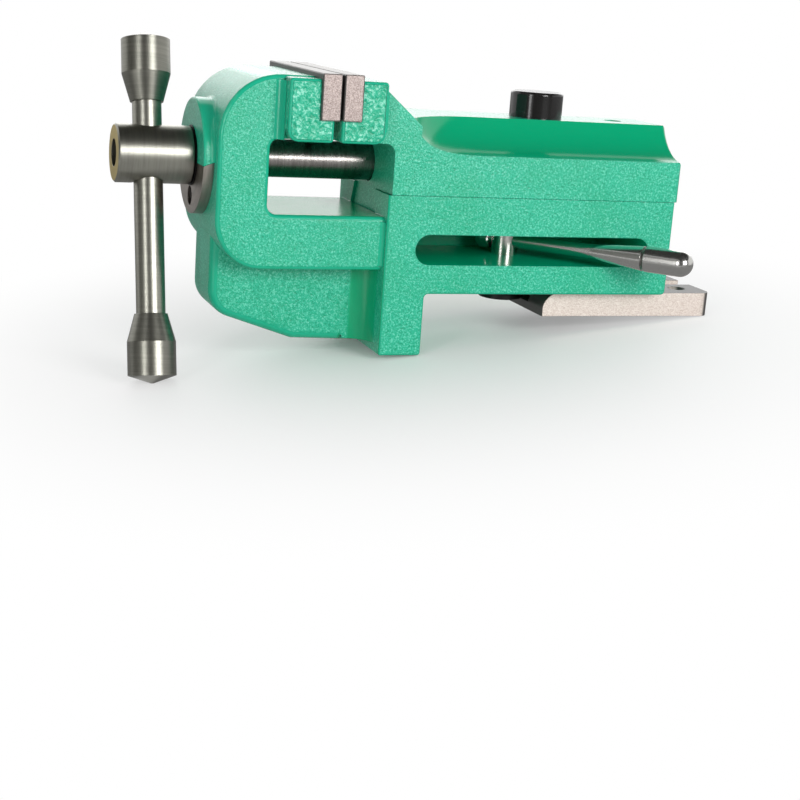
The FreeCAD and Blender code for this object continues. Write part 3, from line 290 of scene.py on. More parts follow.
class Effects:
    """Shared effects, each a node group that is built once."""

    def __init__(self) -> None:
        """Build every group."""
        self.relief = self._hammer_relief()
        self.turning = self._turning_marks()
        self.grain = self._ground_grain()
        self.edges = self._soft_edges()

    @staticmethod
    def _group(name: str, inputs: dict, outputs: tuple[str, ...]) -> tuple[Graph, dict, dict]:
        """An empty group with named sockets.

        Args:
            name: the group's name.
            inputs: first value by name; a tuple makes a vector.
            outputs: names; Normal is a vector, the rest are numbers.

        Returns:
            The graph, the group's input sockets and its output sockets.
        """
        kinds = {True: "NodeSocketVector", False: "NodeSocketFloat"}
        tree = bpy.data.node_groups.new(name, "ShaderNodeTree")
        for label, value in inputs.items():
            kind = kinds[isinstance(value, tuple)]
            socket = tree.interface.new_socket(label, in_out="INPUT", socket_type=kind)
            socket.default_value = value
        for label in outputs:
            kind = kinds[label == "Normal"]
            tree.interface.new_socket(label, in_out="OUTPUT", socket_type=kind)
        graph = Graph(tree)
        entry = graph.node("NodeGroupInput")
        leave = graph.node("NodeGroupOutput")
        given = {label: entry.outputs[label] for label in inputs}
        wanted = {label: leave.inputs[label] for label in outputs}
        return graph, given, wanted

    def _hammer_relief(self) -> bpy.types.NodeTree:
        """Pebbled relief of a wrinkle enamel.

        Returns:
            The group: Pebbles is lumps per millimetre; Height is the relief, Peak and Pit its
            highest and lowest places, Cloud slow tones.
        """
        graph, given, wanted = self._group("hammer_relief", {"Pebbles": 1.6},
                                           ("Height", "Peak", "Pit", "Cloud"))
        place = graph.scaled(graph.own(), 1.0 / MM)
        drift = graph.noise(place, 0.5, detail=1.0)
        bent = graph.vector("ADD", place, graph.scaled((0.8, 0.8, 0.8), drift))
        lumps = graph.noise(bent, given["Pebbles"], rough=0.6)
        fine = graph.noise(place, graph.times(given["Pebbles"], 1.9), detail=1.0)
        height = graph.math("ADD", graph.times(lumps, 0.65), graph.times(fine, 0.35))
        graph.feed(wanted["Height"], height)
        graph.feed(wanted["Peak"], graph.step(height, 0.5, 0.64))
        graph.feed(wanted["Pit"], graph.step(height, 0.48, 0.36))
        graph.feed(wanted["Cloud"], graph.noise(place, 0.07, detail=3.0, rough=0.6))
        return graph.tree

    def _turning_marks(self) -> bpy.types.NodeTree:
        """Lathe marks round an axis.

        Returns:
            The group: Axis and Centre place the lathe's axis, Marks is lines per millimetre;
            Height is the lines, Tone slow bands.
        """
        graph, given, wanted = self._group(
            "turning_marks", {"Axis": ALONG, "Centre": (0.0, 0.0, 0.0), "Marks": 6.0},
            ("Height", "Tone"))
        arm = graph.vector("SUBTRACT", graph.own(), given["Centre"])
        along = graph.vector("DOT_PRODUCT", arm, given["Axis"])
        spoke = graph.vector("SUBTRACT", arm, graph.scaled(given["Axis"], along))
        radius = graph.vector("LENGTH", spoke)
        travel = graph.times(graph.math("ADD", along, radius), 1.0 / MM)
        turned = graph.vector("ADD", graph.scaled(spoke, 0.05 / MM), graph.scaled(ALONG, travel))
        bands = graph.times(given["Marks"], 0.1)
        graph.feed(wanted["Height"], graph.noise(turned, given["Marks"], detail=0.0))
        graph.feed(wanted["Tone"], graph.noise(turned, bands, detail=3.0, rough=0.7))
        return graph.tree

    def _ground_grain(self) -> bpy.types.NodeTree:
        """Short scratches of a surface grinder, with a fine speckle.

        Returns:
            The group: Stretch is the scratches' scale along x, y and z, Speckle the dots' scale;
            Height is both together, Tone the scratches and Speck the dots.
        """
        graph, given, wanted = self._group(
            "ground_grain", {"Stretch": (0.3, 6.0, 6.0), "Speckle": 4.0},
            ("Height", "Tone", "Speck"))
        place = graph.scaled(graph.own(), 1.0 / MM)
        drawn = graph.vector("MULTIPLY", place, given["Stretch"])
        scratches = graph.noise(drawn, 1.0, detail=3.0, rough=0.65)
        speck = graph.noise(place, given["Speckle"], rough=0.6)
        height = graph.math("ADD", graph.times(scratches, 0.7), graph.times(speck, 0.3))
        graph.feed(wanted["Height"], height)
        graph.feed(wanted["Tone"], scratches)
        graph.feed(wanted["Speck"], speck)
        return graph.tree

    def _soft_edges(self) -> bpy.types.NodeTree:
        """Rounded normals near sharp edges, and a mask of those edges.

        Returns:
            The group: Normal is the rounded normal, Mask is 1 on the edges.
        """
        graph, given, wanted = self._group("soft_edges", {"Radius": 0.3 * MM}, ("Normal", "Mask"))
        bevel = graph.node("ShaderNodeBevel", samples=4)
        graph.feed(bevel.inputs["Radius"], given["Radius"])
        flat = graph.node("ShaderNodeNewGeometry").outputs["Normal"]
        same = graph.vector("DOT_PRODUCT", bevel.outputs[0], flat)
        graph.feed(wanted["Normal"], bevel.outputs[0])
        graph.feed(wanted["Mask"], graph.step(same, 0.995, 0.9))
        return graph.tree


@dataclass(frozen=True)
class HammeredEnamel:
    """Thick green enamel with a pebbled skin, smooth where it ran thick in hollows; the hollows
    and the window's floor get a painted shade, the pebbles painted highlights and painted shade.

    slot bounds the lever's slot, coves the hollows, sill the window's floor; the jaw blocks begin
    at jaw_from along X and Z.
    """

    slot: Box
    coves: tuple[Box, ...]
    sill: Box
    jaw_from: Span
    name: str = "hammered_enamel"
    # Deep green: random cloud patches use it, and as painted shade it darkens the coves and the
    # window's floor.
    cloud_and_hollow_shade: Colour = (0.0, 0.33, 0.15, 1.0)
    lining: Colour = (0.0, 0.44, 0.23, 1.0)
    body: Colour = (0.012, 0.42, 0.25, 1.0)
    # Painted shade in the pebbles' pits and painted highlights on their peaks, brighter on the jaw
    # blocks.
    pit_shade: Colour = (0.0, 0.29, 0.16, 1.0)
    peak_glint: Colour = (0.12, 0.6, 0.43, 1.0)
    jaw_glint: Colour = (0.24, 0.68, 0.52, 1.0)
    clouds: float = 0.25
    pebbles: float = 1.5
    jaw_pebbles: float = 0.62
    depth: float = 0.2 * MM
    jaw_deeper: float = 3.5
    pooled_depth: float = 0.03
    roughness: Span = (0.18, 0.3)
    gloss: Span = (0.5, 0.12)
    edge: float = 0.35 * MM
    border: float = 0.3 * MM
    inner_border: float = 0.05 * MM
    jaw_length: Span = (30.0 * MM, 31.0 * MM)
    level: float = 0.35

    def material(self, effects: Effects) -> bpy.types.Material:
        """Build the finish.

        Args:
            effects: the shared effects.

        Returns:
            The material.
        """
        graph, shader, material = blank_material(self.name)
        place = graph.own()
        bent, upward = self._facing(graph)
        slot = self._inside(graph, place, self.slot)
        cove = graph.most(*(self._inside(graph, place, box) for box in self.coves))
        flat = graph.math("GREATER_THAN", upward, self.level)
        sill = graph.times(self._inside(graph, place, self.sill), flat)
        # Painted shade: mask of the coves and the window's floor, which are darkened.
        shaded_hollows = graph.most(graph.times(bent, cove), sill)
        pebbled = graph.math("SUBTRACT", 1.0, graph.most(bent, slot, upward))
        coarse = self._jaws(graph, place)
        lumps = graph.spread(coarse, self.pebbles, self.jaw_pebbles)
        relief = effect(graph, effects.relief, Pebbles=lumps)
        edges = effect(graph, effects.edges, Radius=self.edge)
        cloud = graph.times(graph.step(relief.outputs["Cloud"], 0.4, 0.7), self.clouds)
        # Painted highlights on the pebbles' peaks, brighter on the jaw blocks, and painted shade
        # in their pits.
        light = graph.mix(coarse, self.peak_glint, self.jaw_glint)
        tone = graph.mix(graph.times(relief.outputs["Pit"], pebbled), self.body, self.pit_shade)
        tone = graph.mix(graph.times(relief.outputs["Peak"], pebbled), tone, light)
        tone = graph.mix(slot, graph.mix(cloud, tone, self.cloud_and_hollow_shade), self.lining)
        shine = graph.spread(graph.most(sill, slot), *self.gloss)
        height = graph.times(relief.outputs["Height"],
                             graph.spread(pebbled, self.pooled_depth, 1.0))
        depth = graph.spread(coarse, self.depth, self.depth * self.jaw_deeper)
        # Painted shade: the hollows and the window's floor take the deep green.
        graph.feed(shader.inputs["Base Color"], graph.mix(shaded_hollows, tone, self.cloud_and_hollow_shade))
        graph.feed(shader.inputs["Roughness"], graph.spread(pebbled, *self.roughness))
        graph.feed(shader.inputs["Specular IOR Level"], shine)
        graph.feed(shader.inputs["Normal"], graph.bump(height, depth, edges.outputs["Normal"]))
        return material

    @staticmethod
    def _facing(graph: Graph) -> tuple[Value, Value]:
        """Masks of faces by where they look.

        Args:
            graph: the material's graph.

        Returns:
            One for coves and rounded edges, which look along no axis, and one for the faces that
            look up, where the enamel ran almost smooth.
        """
        _, side, up = graph.parts(graph.own("Normal"))
        side = graph.math("ABSOLUTE", side)
        bent = graph.times(graph.step(side, 0.985, 0.95), graph.step(side, 0.1, 0.3))
        return bent, graph.times(graph.step(up, 0.9, 0.97), 0.7)

    def _inside(self, graph: Graph, place: Value, box: Box) -> Value:
        """Mask of what lies in a box.

        Args:
            graph: the material's graph.
            place: the point in the piece's own axes.
            box: the box's corners.

        Returns:
            The mask's socket.
        """
        middle = tuple((low + high) / 2 for low, high in zip(*box))
        half = tuple((high - low) / 2 for low, high in zip(*box))
        arm = graph.vector("ABSOLUTE", graph.vector("SUBTRACT", place, middle))
        outside = graph.most(*graph.parts(graph.vector("SUBTRACT", arm, half)))
        return graph.step(outside, self.border, self.inner_border)

    def _jaws(self, graph: Graph, place: Value) -> Value:
        """Mask of the jaw blocks, whose pebbles are coarser.

        Args:
            graph: the material's graph.
            place: the point in the piece's own axes.

        Returns:
            The mask's socket.
        """
        x, _, z = graph.parts(place)
        front, foot = self.jaw_from
        near, far = self.jaw_length
        return graph.times(graph.step(x, front - self.border, front + self.border),
                           graph.step(z, foot - self.border, foot + self.border),
                           graph.step(x, front + far, front + near))


@dataclass(frozen=True)
class TurnedSteel:
    """Bare steel from the lathe, with marks round its axis."""

    name: str
    axis: Point
    centre: Point
    dark: Colour = (0.29, 0.287, 0.25, 1.0)
    light: Colour = (0.36, 0.356, 0.31, 1.0)
    roughness: Span = (0.28, 0.38)
    marks: float = 14.0
    depth: float = 0.008 * MM
    painted_end_reflection: Colour | None = None
    worn: Colour = (0.7, 0.69, 0.65, 1.0)
    wear: float = 0.35
    edge: float = 0.2 * MM

    def material(self, effects: Effects) -> bpy.types.Material:
        """Build the finish.

        Args:
            effects: the shared effects.

        Returns:
            The material.
        """
        graph, shader, material = blank_material(self.name, metallic=1.0)
        marks = effect(graph, effects.turning, Axis=self.axis, Centre=self.centre,
                       Marks=self.marks)
        edges = effect(graph, effects.edges, Radius=self.edge)
        height = marks.outputs["Height"]
        colour = graph.mix(graph.step(marks.outputs["Tone"], 0.25, 0.75), self.dark, self.light)
        # Painted reflection: the end faces take the tint of what they mirror.
        if self.painted_end_reflection is not None:
            facing = graph.vector("DOT_PRODUCT", graph.own("Normal"), self.axis)
            ends = graph.step(graph.math("ABSOLUTE", facing), 0.9, 0.99)
            colour = graph.mix(ends, colour, self.painted_end_reflection)
        worn = graph.mix(graph.times(edges.outputs["Mask"], self.wear), colour, self.worn)
        graph.feed(shader.inputs["Base Color"], worn)
        graph.feed(shader.inputs["Roughness"], graph.spread(height, *self.roughness))
        graph.feed(shader.inputs["Normal"],
                   graph.bump(height, self.depth, edges.outputs["Normal"]))
        return material


@dataclass(frozen=True)
class GroundSteel:
    """Steel from the surface grinder, with a fine speckle, and painted shade on its ends, top and
    rim.
    """

    name: str
    dark: Colour
    light: Colour
    end_shade: Colour
    top_shade: Colour
    stretch: Point
    speckle: float = 3.0
    metallic: float = 0.55
    roughness: Span = (0.36, 0.52)
    depth: float = 0.02 * MM
    rim: float = 0.85
    edge: float = 0.25 * MM

    def material(self, effects: Effects) -> bpy.types.Material:
        """Build the finish.

        Args:
            effects: the shared effects.

        Returns:
            The material.
        """
        graph, shader, material = blank_material(self.name, self.metallic)
        grain = effect(graph, effects.grain, Stretch=self.stretch, Speckle=self.speckle)
        edges = effect(graph, effects.edges, Radius=self.edge)
        scratches, specks = grain.outputs["Tone"], grain.outputs["Speck"]
        tone = graph.math("ADD", graph.times(scratches, 0.5), graph.times(specks, 0.5))
        x, _, z = graph.parts(graph.vector("ABSOLUTE", graph.own("Normal")))
        colour = graph.mix(graph.step(tone, 0.35, 0.65), self.dark, self.light)
        # Painted shade: the ends, the top and the rims are darker than the ground sides.
        colour = graph.mix(graph.step(x, 0.2, 0.5), colour, self.end_shade)
        colour = graph.mix(graph.step(z, 0.6, 0.95), colour, self.top_shade)
        rim = graph.times(edges.outputs["Mask"], self.rim)
        graph.feed(shader.inputs["Base Color"], graph.mix(rim, colour, self.end_shade))
        graph.feed(shader.inputs["Roughness"], graph.spread(scratches, *self.roughness))
        graph.feed(shader.inputs["Normal"],
                   graph.bump(grain.outputs["Height"], self.depth, edges.outputs["Normal"]))
        return material


@dataclass(frozen=True)
class SmoothMetal:
    """Polished, blackened or drawn metal, or gloss paint, with faint handling marks."""

    name: str
    colour: Colour
    roughness: Span
    metallic: float = 1.0
    scuffs: float = 0.15
    scuff_tone: float = 0.6
    speckle: float = 5.0
    depth: float = 0.0002 * MM
    strength: float = 0.6
    edge: float = 0.15 * MM

    def material(self, effects: Effects) -> bpy.types.Material:
        """Build the finish.

        Args:
            effects: the shared effects.

        Returns:
            The material.
        """
        graph, shader, material = blank_material(self.name, self.metallic)
        grain = effect(graph, effects.grain, Stretch=(1.0, 1.0, 1.0), Speckle=self.speckle)
        edges = effect(graph, effects.edges, Radius=self.edge)
        tone = grain.outputs["Tone"]
        shade = tuple(part * self.scuff_tone for part in self.colour[:3]) + (1.0,)
        scuffed = graph.times(graph.step(tone, 0.45, 0.75), self.scuffs)
        skin = graph.bump(grain.outputs["Speck"], self.depth, edges.outputs["Normal"],
                          self.strength)
        graph.feed(shader.inputs["Base Color"], graph.mix(scuffed, self.colour, shade))
        graph.feed(shader.inputs["Roughness"], graph.spread(tone, *self.roughness))
        graph.feed(shader.inputs["Normal"], skin)
        return material


Finish = HammeredEnamel | TurnedSteel | GroundSteel | SmoothMetal


def blank_material(name: str, metallic: float = 0.0
                   ) -> tuple[Graph, bpy.types.Node, bpy.types.Material]:
    """A material with one Principled shader.

    Args:
        name: the material's name.
        metallic: 1 for bare metal.

    Returns:
        Its graph, its shader node and the material.
    """
    material = bpy.data.materials.new(name)
    material.use_nodes = True
    material.node_tree.nodes.clear()
    graph = Graph(material.node_tree)
    shader = graph.node("ShaderNodeBsdfPrincipled")
    shader.inputs["Metallic"].default_value = metallic
    output = graph.node("ShaderNodeOutputMaterial")
    graph.feed(output.inputs["Surface"], shader.outputs[0])
    return graph, shader, material


def effect(graph: Graph, group: bpy.types.NodeTree, **values: Value) -> bpy.types.Node:
    """Place a shared effect in a material.

    Args:
        graph: the material's graph.
        group: the effect's group.
        values: input values by name.

    Returns:
        The group's node.
    """
    node = graph.node("ShaderNodeGroup", node_tree=group)
    for label, value in values.items():
        graph.feed(node.inputs[label], value)
    return node


class Element(Enum):
    """Parts of a mesh that can be picked."""

    EDGE = "EDGE"
    FACE = "FACE"


class Workpiece:
    """A new piece on the modelling bench, shaped by edit-mode operators."""

    def __init__(self, name: str) -> None:
        """Take the primitive that was just added, with all of it selected in edit mode.

        Args:
            name: the piece's name.
        """
        self.piece = bpy.context.active_object
        self.piece.name = name
        self.piece.data.name = name
        self.take_all()

    @staticmethod
    def clear() -> None:
        """Put everything else down."""
        bpy.ops.object.select_all(action="DESELECT")

    @staticmethod
    def take_all() -> None:
        """Select the whole mesh in edit mode."""
        bpy.ops.object.mode_set(mode="EDIT")
        bpy.ops.mesh.select_all(action="SELECT")

    def pick(self, kind: Element, test: Callable[[Vector], bool]) -> None:
        """Select only the elements whose middle passes a test.

        Args:
            kind: edges or faces.
            test: takes the middle in the scene's axes.
        """
        bpy.ops.object.mode_set(mode="EDIT")
        bpy.ops.mesh.select_mode(type=kind.value)
        bpy.ops.mesh.select_all(action="DESELECT")
        bpy.ops.object.mode_set(mode="OBJECT")
        mesh = self.piece.data
        to_scene = self.piece.matrix_world
        if kind is Element.FACE:
            for face in mesh.polygons:
                face.select = test(to_scene @ face.center)
        else:
            for edge in mesh.edges:
                first, second = (mesh.vertices[corner].co for corner in edge.vertices)
                edge.select = test(to_scene @ ((first + second) / 2))
        bpy.ops.object.mode_set(mode="EDIT")

    @staticmethod
    def pull(along: Point) -> None:
        """Extrude what is selected by a vector."""
        bpy.ops.mesh.extrude_region_move(TRANSFORM_OT_translate={"value": along})

    def modify(self, kind: str, **settings: Value) -> None:
        """Add a modifier and apply it.

        Args:
            kind: the modifier's type.
            settings: its properties.
        """
        bpy.ops.object.mode_set(mode="OBJECT")
        modifier = self.piece.modifiers.new(kind.lower(), kind)
        for name, value in settings.items():
            setattr(modifier, name, value)
        bpy.ops.object.modifier_apply(modifier=modifier.name)

    def outwards(self) -> None:
        """Merge doubles and turn all faces outwards."""
        self.take_all()
        bpy.ops.mesh.remove_doubles(threshold=MERGE)
        bpy.ops.mesh.normals_make_consistent(inside=False)
        bpy.ops.object.mode_set(mode="OBJECT")

    def deliver(self, material: bpy.types.Material, stands_for: str, body: str, slot: str) -> None:
        """Put the finished piece in the frame.

        Args:
            material: its finish.
            stands_for: construction node that it replaces.
            body: body it rides on.
            slot: the record's material slot; not used.
        """
        bpy.ops.object.mode_set(mode="OBJECT")
        self.clear()
        self.piece.select_set(True)
        bpy.context.view_layer.objects.active = self.piece
        bpy.ops.object.transform_apply(location=True, rotation=True, scale=True)
        bpy.ops.object.shade_smooth_by_angle(angle=SMOOTH)
        self.piece.data.materials.clear()
        self.piece.data.materials.append(material)
        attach(self.piece, body)
        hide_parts(stands_for)
        LOG.info("%s modelled, rides on %s", self.piece.name, body)


@dataclass
class Unit:
    """A sub-assembly, which finishes its nodes and models what they lack."""

    effects: Effects

    def dress(self) -> None:
        """Finish the pieces; every sub-assembly has its own way."""
        raise NotImplementedError

    def wear(self, finish: Finish, *nodes: str) -> None:
        """Give construction nodes a finish.

        Args:
            finish: the finish.
            nodes: the nodes' names.
        """
        material = finish.material(self.effects)
        for node in nodes:
            for slot in FRAME["nodes"][node].material_slots:
                slot.material = material
            LOG.info("%s wears %s", node, finish.name)


@dataclass
class Castings(Unit):
    """The base casting and the sliding jaw; the sizes place the kinds of enamel and its painted
    shade.
    """

    body_half_width: float = 25.0 * MM
    proud: float = 2.0 * MM
    skin: float = 0.6 * MM
    slot_half_length: float = 42.5 * MM
    slot_height: float = 9.9 * MM
    slot_end: float = 16.0 * MM
    post_clearance: float = 0.3 * MM
    jaw_behind_front: float = 22.5 * MM
    jaw_under: float = 54.8 * MM
    block_behind_front: float = 57.3 * MM
    ridge_behind_block: float = 4.0 * MM
    ridge_end: float = 100.0 * MM
    ridge_foot: float = 52.6 * MM
    ridge_top: float = 63.6 * MM
    keel_length: float = 9.5 * MM
    keel_top: float = 15.6 * MM
    valley: Span = (33.0 * MM, 27.0 * MM)
    valley_over_ridge: float = 10.0 * MM
    sill_behind_front: float = 14.0 * MM
    sill_top: float = 32.4 * MM
    sill_depth: float = 1.0 * MM
    sill_margin: float = 0.5 * MM

    def dress(self) -> None:
        """Paint both castings."""
        post_low, post_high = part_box("post_nut")
        base_low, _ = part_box("base_casting")
        post = (post_low.x + post_high.x) / 2
        front, leg = base_low.x, base_low.z
        block = front + self.block_behind_front
        side = self.body_half_width
        half = side + self.proud
        valley_start, valley_end = self.valley
        slot = ((post - self.slot_half_length, self.skin - side, post_high.z - self.slot_height),
                (post + self.slot_half_length, self.slot_end, post_high.z + self.post_clearance))
        ridge = ((block + self.ridge_behind_block, -side, self.ridge_foot),
                 (self.ridge_end, side, self.ridge_top))
        keel = ((block - self.keel_length, -half, leg), (block, half, self.keel_top))
        valley = ((block - valley_start, -half, self.jaw_under),
                  (block - valley_end, half, self.ridge_top + self.valley_over_ridge))
        sill = ((front + self.sill_behind_front, -half, self.sill_top - self.sill_depth),
                (block - self.sill_margin, half, self.sill_top + self.sill_margin))
        jaw_from = (front + self.jaw_behind_front, self.jaw_under)
        self.wear(HammeredEnamel(slot, (ridge, keel, valley), sill, jaw_from),
                  "base_casting", "sliding_jaw")


@dataclass
class Jaws(Unit):
    """Ground jaw plates and all the small screws."""

    def dress(self) -> None:
        """Finish plates and screws."""
        plate = GroundSteel("jaw_steel", (0.23, 0.18, 0.168, 1.0), (0.55, 0.46, 0.43, 1.0),
                            (0.1, 0.095, 0.09, 1.0), (0.4, 0.39, 0.375, 1.0), (3.0, 0.5, 3.0))
        self.wear(plate, "front_jaw_plate", "rear_jaw_plate")
        self.wear(SmoothMetal("black_screws", (0.05, 0.05, 0.055, 1.0), (0.25, 0.4)),
                  "front_jaw_screws", "rear_jaw_screws", "keeper_screw", "grub_screw",
                  "friction_screw")


@dataclass
class ReleaseUnit(Unit):
    """Button, half nut, spring and rear plug."""

    def dress(self) -> None:
        """Finish the pieces that the slide carries."""
        self.wear(SmoothMetal("gloss_black", (0.012, 0.011, 0.011, 1.0), (0.1, 0.18), 0.0),
                  "release_button")
        for node, name, axis in (("rear_plug", "plug_steel", ALONG),
                                 ("half_nut", "nut_steel", UPWARD)):
            low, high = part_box(node)
            self.wear(TurnedSteel(name, axis, tuple((low + high) / 2)), node)
        self.wear(SmoothMetal("spring_wire", (0.3, 0.3, 0.31, 1.0), (0.2, 0.35)),
                  "button_spring")


@dataclass
class SpindleUnit(Unit):
    """Spindle with its cut thread, its head, washer, bush and keeper."""

    stub_radius: float = 4.0 * MM
    radius: float = 6.0 * MM
    collar_radius: float = 7.8 * MM
    collar_length: float = 3.9 * MM
    collar_gap: float = 3.6 * MM
    relief: float = 0.4 * MM
    root_radius: float = 4.9 * MM
    crest_radius: float = 5.95 * MM
    pitch: float = 3.0 * MM
    crest: float = 0.8 * MM
    root: float = 0.8 * MM
    thread_behind_collar: float = 62.0 * MM
    sides: int = 96
    steps: int = 48
    cut_tolerance: float = 0.001 * MM

    def _middle(self, x: float) -> Vector:
        """A point on the spindle's axis.

        Args:
            x: its place along the axis.

        Returns:
            The point.
        """
        low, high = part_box("spindle")
        return Vector((x, 0.0, (low.z + high.z) / 2))

    def shank(self, name: str, collar: float, thread_start: float) -> Workpiece:
        """Turn the plain part: stub, journal, collar and shank.

        Args:
            name: the piece's name.
            collar: where the collar begins.
            thread_start: where the thread begins.

        Returns:
            The piece.
        """
        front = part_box("spindle")[0].x
        head_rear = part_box("spindle_head")[1].x
        Workpiece.clear()
        bpy.ops.mesh.primitive_circle_add(
            vertices=self.sides, radius=self.stub_radius, fill_type="NGON",
            location=self._middle(front), rotation=(0.0, math.pi / 2, 0.0))
        piece = Workpiece(name)
        collar_end = collar + self.collar_length
        collar_edge = self.collar_radius - self.relief
        stages = (
            (head_rear, self.stub_radius), (head_rear, self.radius), (collar, self.radius),
            (collar, collar_edge), (collar + self.relief, self.collar_radius),
            (collar_end - self.relief, self.collar_radius), (collar_end, collar_edge),
            (collar_end, self.radius), (thread_start - self.relief, self.radius),
            (thread_start, self.radius - self.relief))
        place, radius = front, self.stub_radius
        for x, wide in stages:
            piece.pull((x - place, 0.0, 0.0))
            bpy.ops.transform.resize(value=(1.0, wide / radius, wide / radius),
                                     center_override=tuple(self._middle(x)))
            place, radius = x, wide
        piece.outwards()
        return piece

    def thread(self, name: str, start: float) -> Workpiece:
        """Cut the thread: one pitch of its outline, turned along the axis, its ends faced.

        Args:
            name: the piece's name.
            start: where it begins.

        Returns:
            The piece.
        """
        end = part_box("spindle")[1].x
        turns = math.ceil((end - start) / self.pitch) + 2
        Workpiece.clear()
        bpy.ops.mesh.primitive_plane_add(size=MM, location=self._middle(start - self.pitch))
        piece = Workpiece(name)
        bpy.ops.mesh.merge(type="CENTER")
        bpy.ops.transform.translate(value=(0.0, 0.0, self.root_radius))
        flank = (self.pitch - self.crest - self.root) / 2
        rise = self.crest_radius - self.root_radius
        for run, out in ((self.root, 0.0), (flank, rise), (self.crest, 0.0), (flank, -rise)):
            piece.pull((run, 0.0, out))
        piece.modify("SCREW", axis="X", angle=2 * math.pi, screw_offset=self.pitch,
                     iterations=turns, steps=self.steps, render_steps=self.steps,
                     use_merge_vertices=True, merge_threshold=MERGE)
        piece.outwards()
        for x, side in ((start, 1.0), (end, -1.0)):
            piece.take_all()
            bpy.ops.mesh.bisect(plane_co=self._middle(x), plane_no=(side, 0.0, 0.0),
                                use_fill=True, clear_inner=True, threshold=self.cut_tolerance)
        piece.outwards()
        return piece

    def dress(self) -> None:
        """Finish the pieces on the spindle's axis and model the spindle."""
        centre = tuple(self._middle(0.0))
        dark = TurnedSteel("spindle_steel", ALONG, centre, (0.2, 0.185, 0.175, 1.0),
                           (0.32, 0.3, 0.285, 1.0), (0.24, 0.34), 12.0).material(self.effects)
        # The head's gold end face is a painted reflection.
        self.wear(TurnedSteel("head_steel", ALONG, centre, painted_end_reflection=(0.55, 0.42, 0.1, 1.0)),
                  "spindle_head")
        self.wear(TurnedSteel("keeper_steel", ALONG, centre, (0.3, 0.27, 0.24, 1.0),
                              (0.42, 0.38, 0.34, 1.0), (0.3, 0.42)), "keeper_plate")
        self.wear(TurnedSteel("bush_bronze", ALONG, centre, (0.4, 0.24, 0.1, 1.0),
                              (0.6, 0.4, 0.2, 1.0)), "spindle_bush")
        self.wear(SmoothMetal("washer_steel", (0.03, 0.03, 0.03, 1.0), (0.4, 0.5)),
                  "thrust_washer")
        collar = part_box("base_casting")[0].x + self.collar_gap
        start = collar + self.thread_behind_collar
        shank = self.shank("spindle_shank", collar, start)
        shank.deliver(dark, "spindle", "spindle", "dark_steel")
        thread = self.thread("spindle_thread", start - self.relief)
        thread.deliver(dark, "spindle", "spindle", "dark_steel")


@dataclass
class HandleUnit(Unit):
    """Sliding handle bar with its two knobs."""

    def dress(self) -> None:
        """Finish bar and knobs."""
        head_low, head_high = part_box("spindle_head")
        bar_low, bar_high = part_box("handle_bar")
        centre = ((bar_low.x + bar_high.x) / 2, 0.0, (head_low.z + head_high.z) / 2)
        axis = (0.0, math.sin(BAR_LEAN), math.cos(BAR_LEAN))
        self.wear(TurnedSteel("bar_steel", axis, centre), "handle_bar")
        # Painted shade: the knobs wear a darker copy of the bar's steel.
        self.wear(TurnedSteel("knob_steel_shaded", axis, centre, (0.22, 0.217, 0.19, 1.0),
                              (0.28, 0.277, 0.24, 1.0)),
                  "handle_knob_upper", "handle_knob_lower")


@dataclass
class LeverLock(Unit):
    """Lever, post, T-bolt and the plate on the bench."""

    def dress(self) -> None:
        """Finish the clamp's pieces."""
        self.wear(SmoothMetal("polished_steel", (0.6, 0.595, 0.57, 1.0), (0.2, 0.22)),
                  "lever_rod", "lever_handle", "lever_knob")
        self.wear(SmoothMetal("bright_post", (0.72, 0.7, 0.66, 1.0), (0.16, 0.24)), "post_nut")
        self.wear(SmoothMetal("black_bolt", (0.045, 0.045, 0.045, 1.0), (0.3, 0.42)), "t_bolt")
        plate = GroundSteel("plate_steel", (0.7, 0.58, 0.51, 1.0), (0.98, 0.89, 0.82, 1.0),
                            (0.09, 0.085, 0.08, 1.0), (0.07, 0.068, 0.065, 1.0),
                            (0.6, 4.0, 4.0))
        self.wear(plate, "bench_plate")


@dataclass
class NamePlate(Unit):
    """Bare plate in its recess: a brushed field inside a raised border."""

    corner: float = 2.2 * MM
    corner_cuts: int = 6
    border: float = 1.1 * MM
    recess: float = 0.3 * MM
    edge: float = 0.12 * MM
    edge_cuts: int = 2
    sharp: float = math.radians(60.0)
    near: float = 0.01 * MM

    def dress(self) -> None:
        """Press the plate and finish it."""
        low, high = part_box("name_plate")
        middle, size = (low + high) / 2, high - low
        Workpiece.clear()
        bpy.ops.mesh.primitive_cube_add(size=1.0, location=middle)
        piece = Workpiece("name_plate_pressed")
        bpy.ops.transform.resize(value=tuple(size), center_override=tuple(middle))
        piece.pick(Element.EDGE, lambda p: abs(p.y - middle.y) < self.near)
        bpy.ops.mesh.bevel(offset=self.corner, segments=self.corner_cuts, affect="EDGES")
        piece.pick(Element.FACE, lambda p: p.y > high.y - self.near)
        bpy.ops.mesh.inset(thickness=self.border)
        piece.pull((0.0, -self.recess, 0.0))
        piece.modify("BEVEL", width=self.edge, segments=self.edge_cuts, limit_method="ANGLE",
                     angle_limit=self.sharp)
        piece.outwards()
        brass = GroundSteel("plate_brass", (0.66, 0.5, 0.06, 1.0), (0.86, 0.7, 0.16, 1.0),
                            (0.1, 0.08, 0.03, 1.0), (0.3, 0.22, 0.05, 1.0), (0.3, 6.0, 6.0))
        piece.deliver(brass.material(self.effects), "name_plate", "base", "plate_metal")


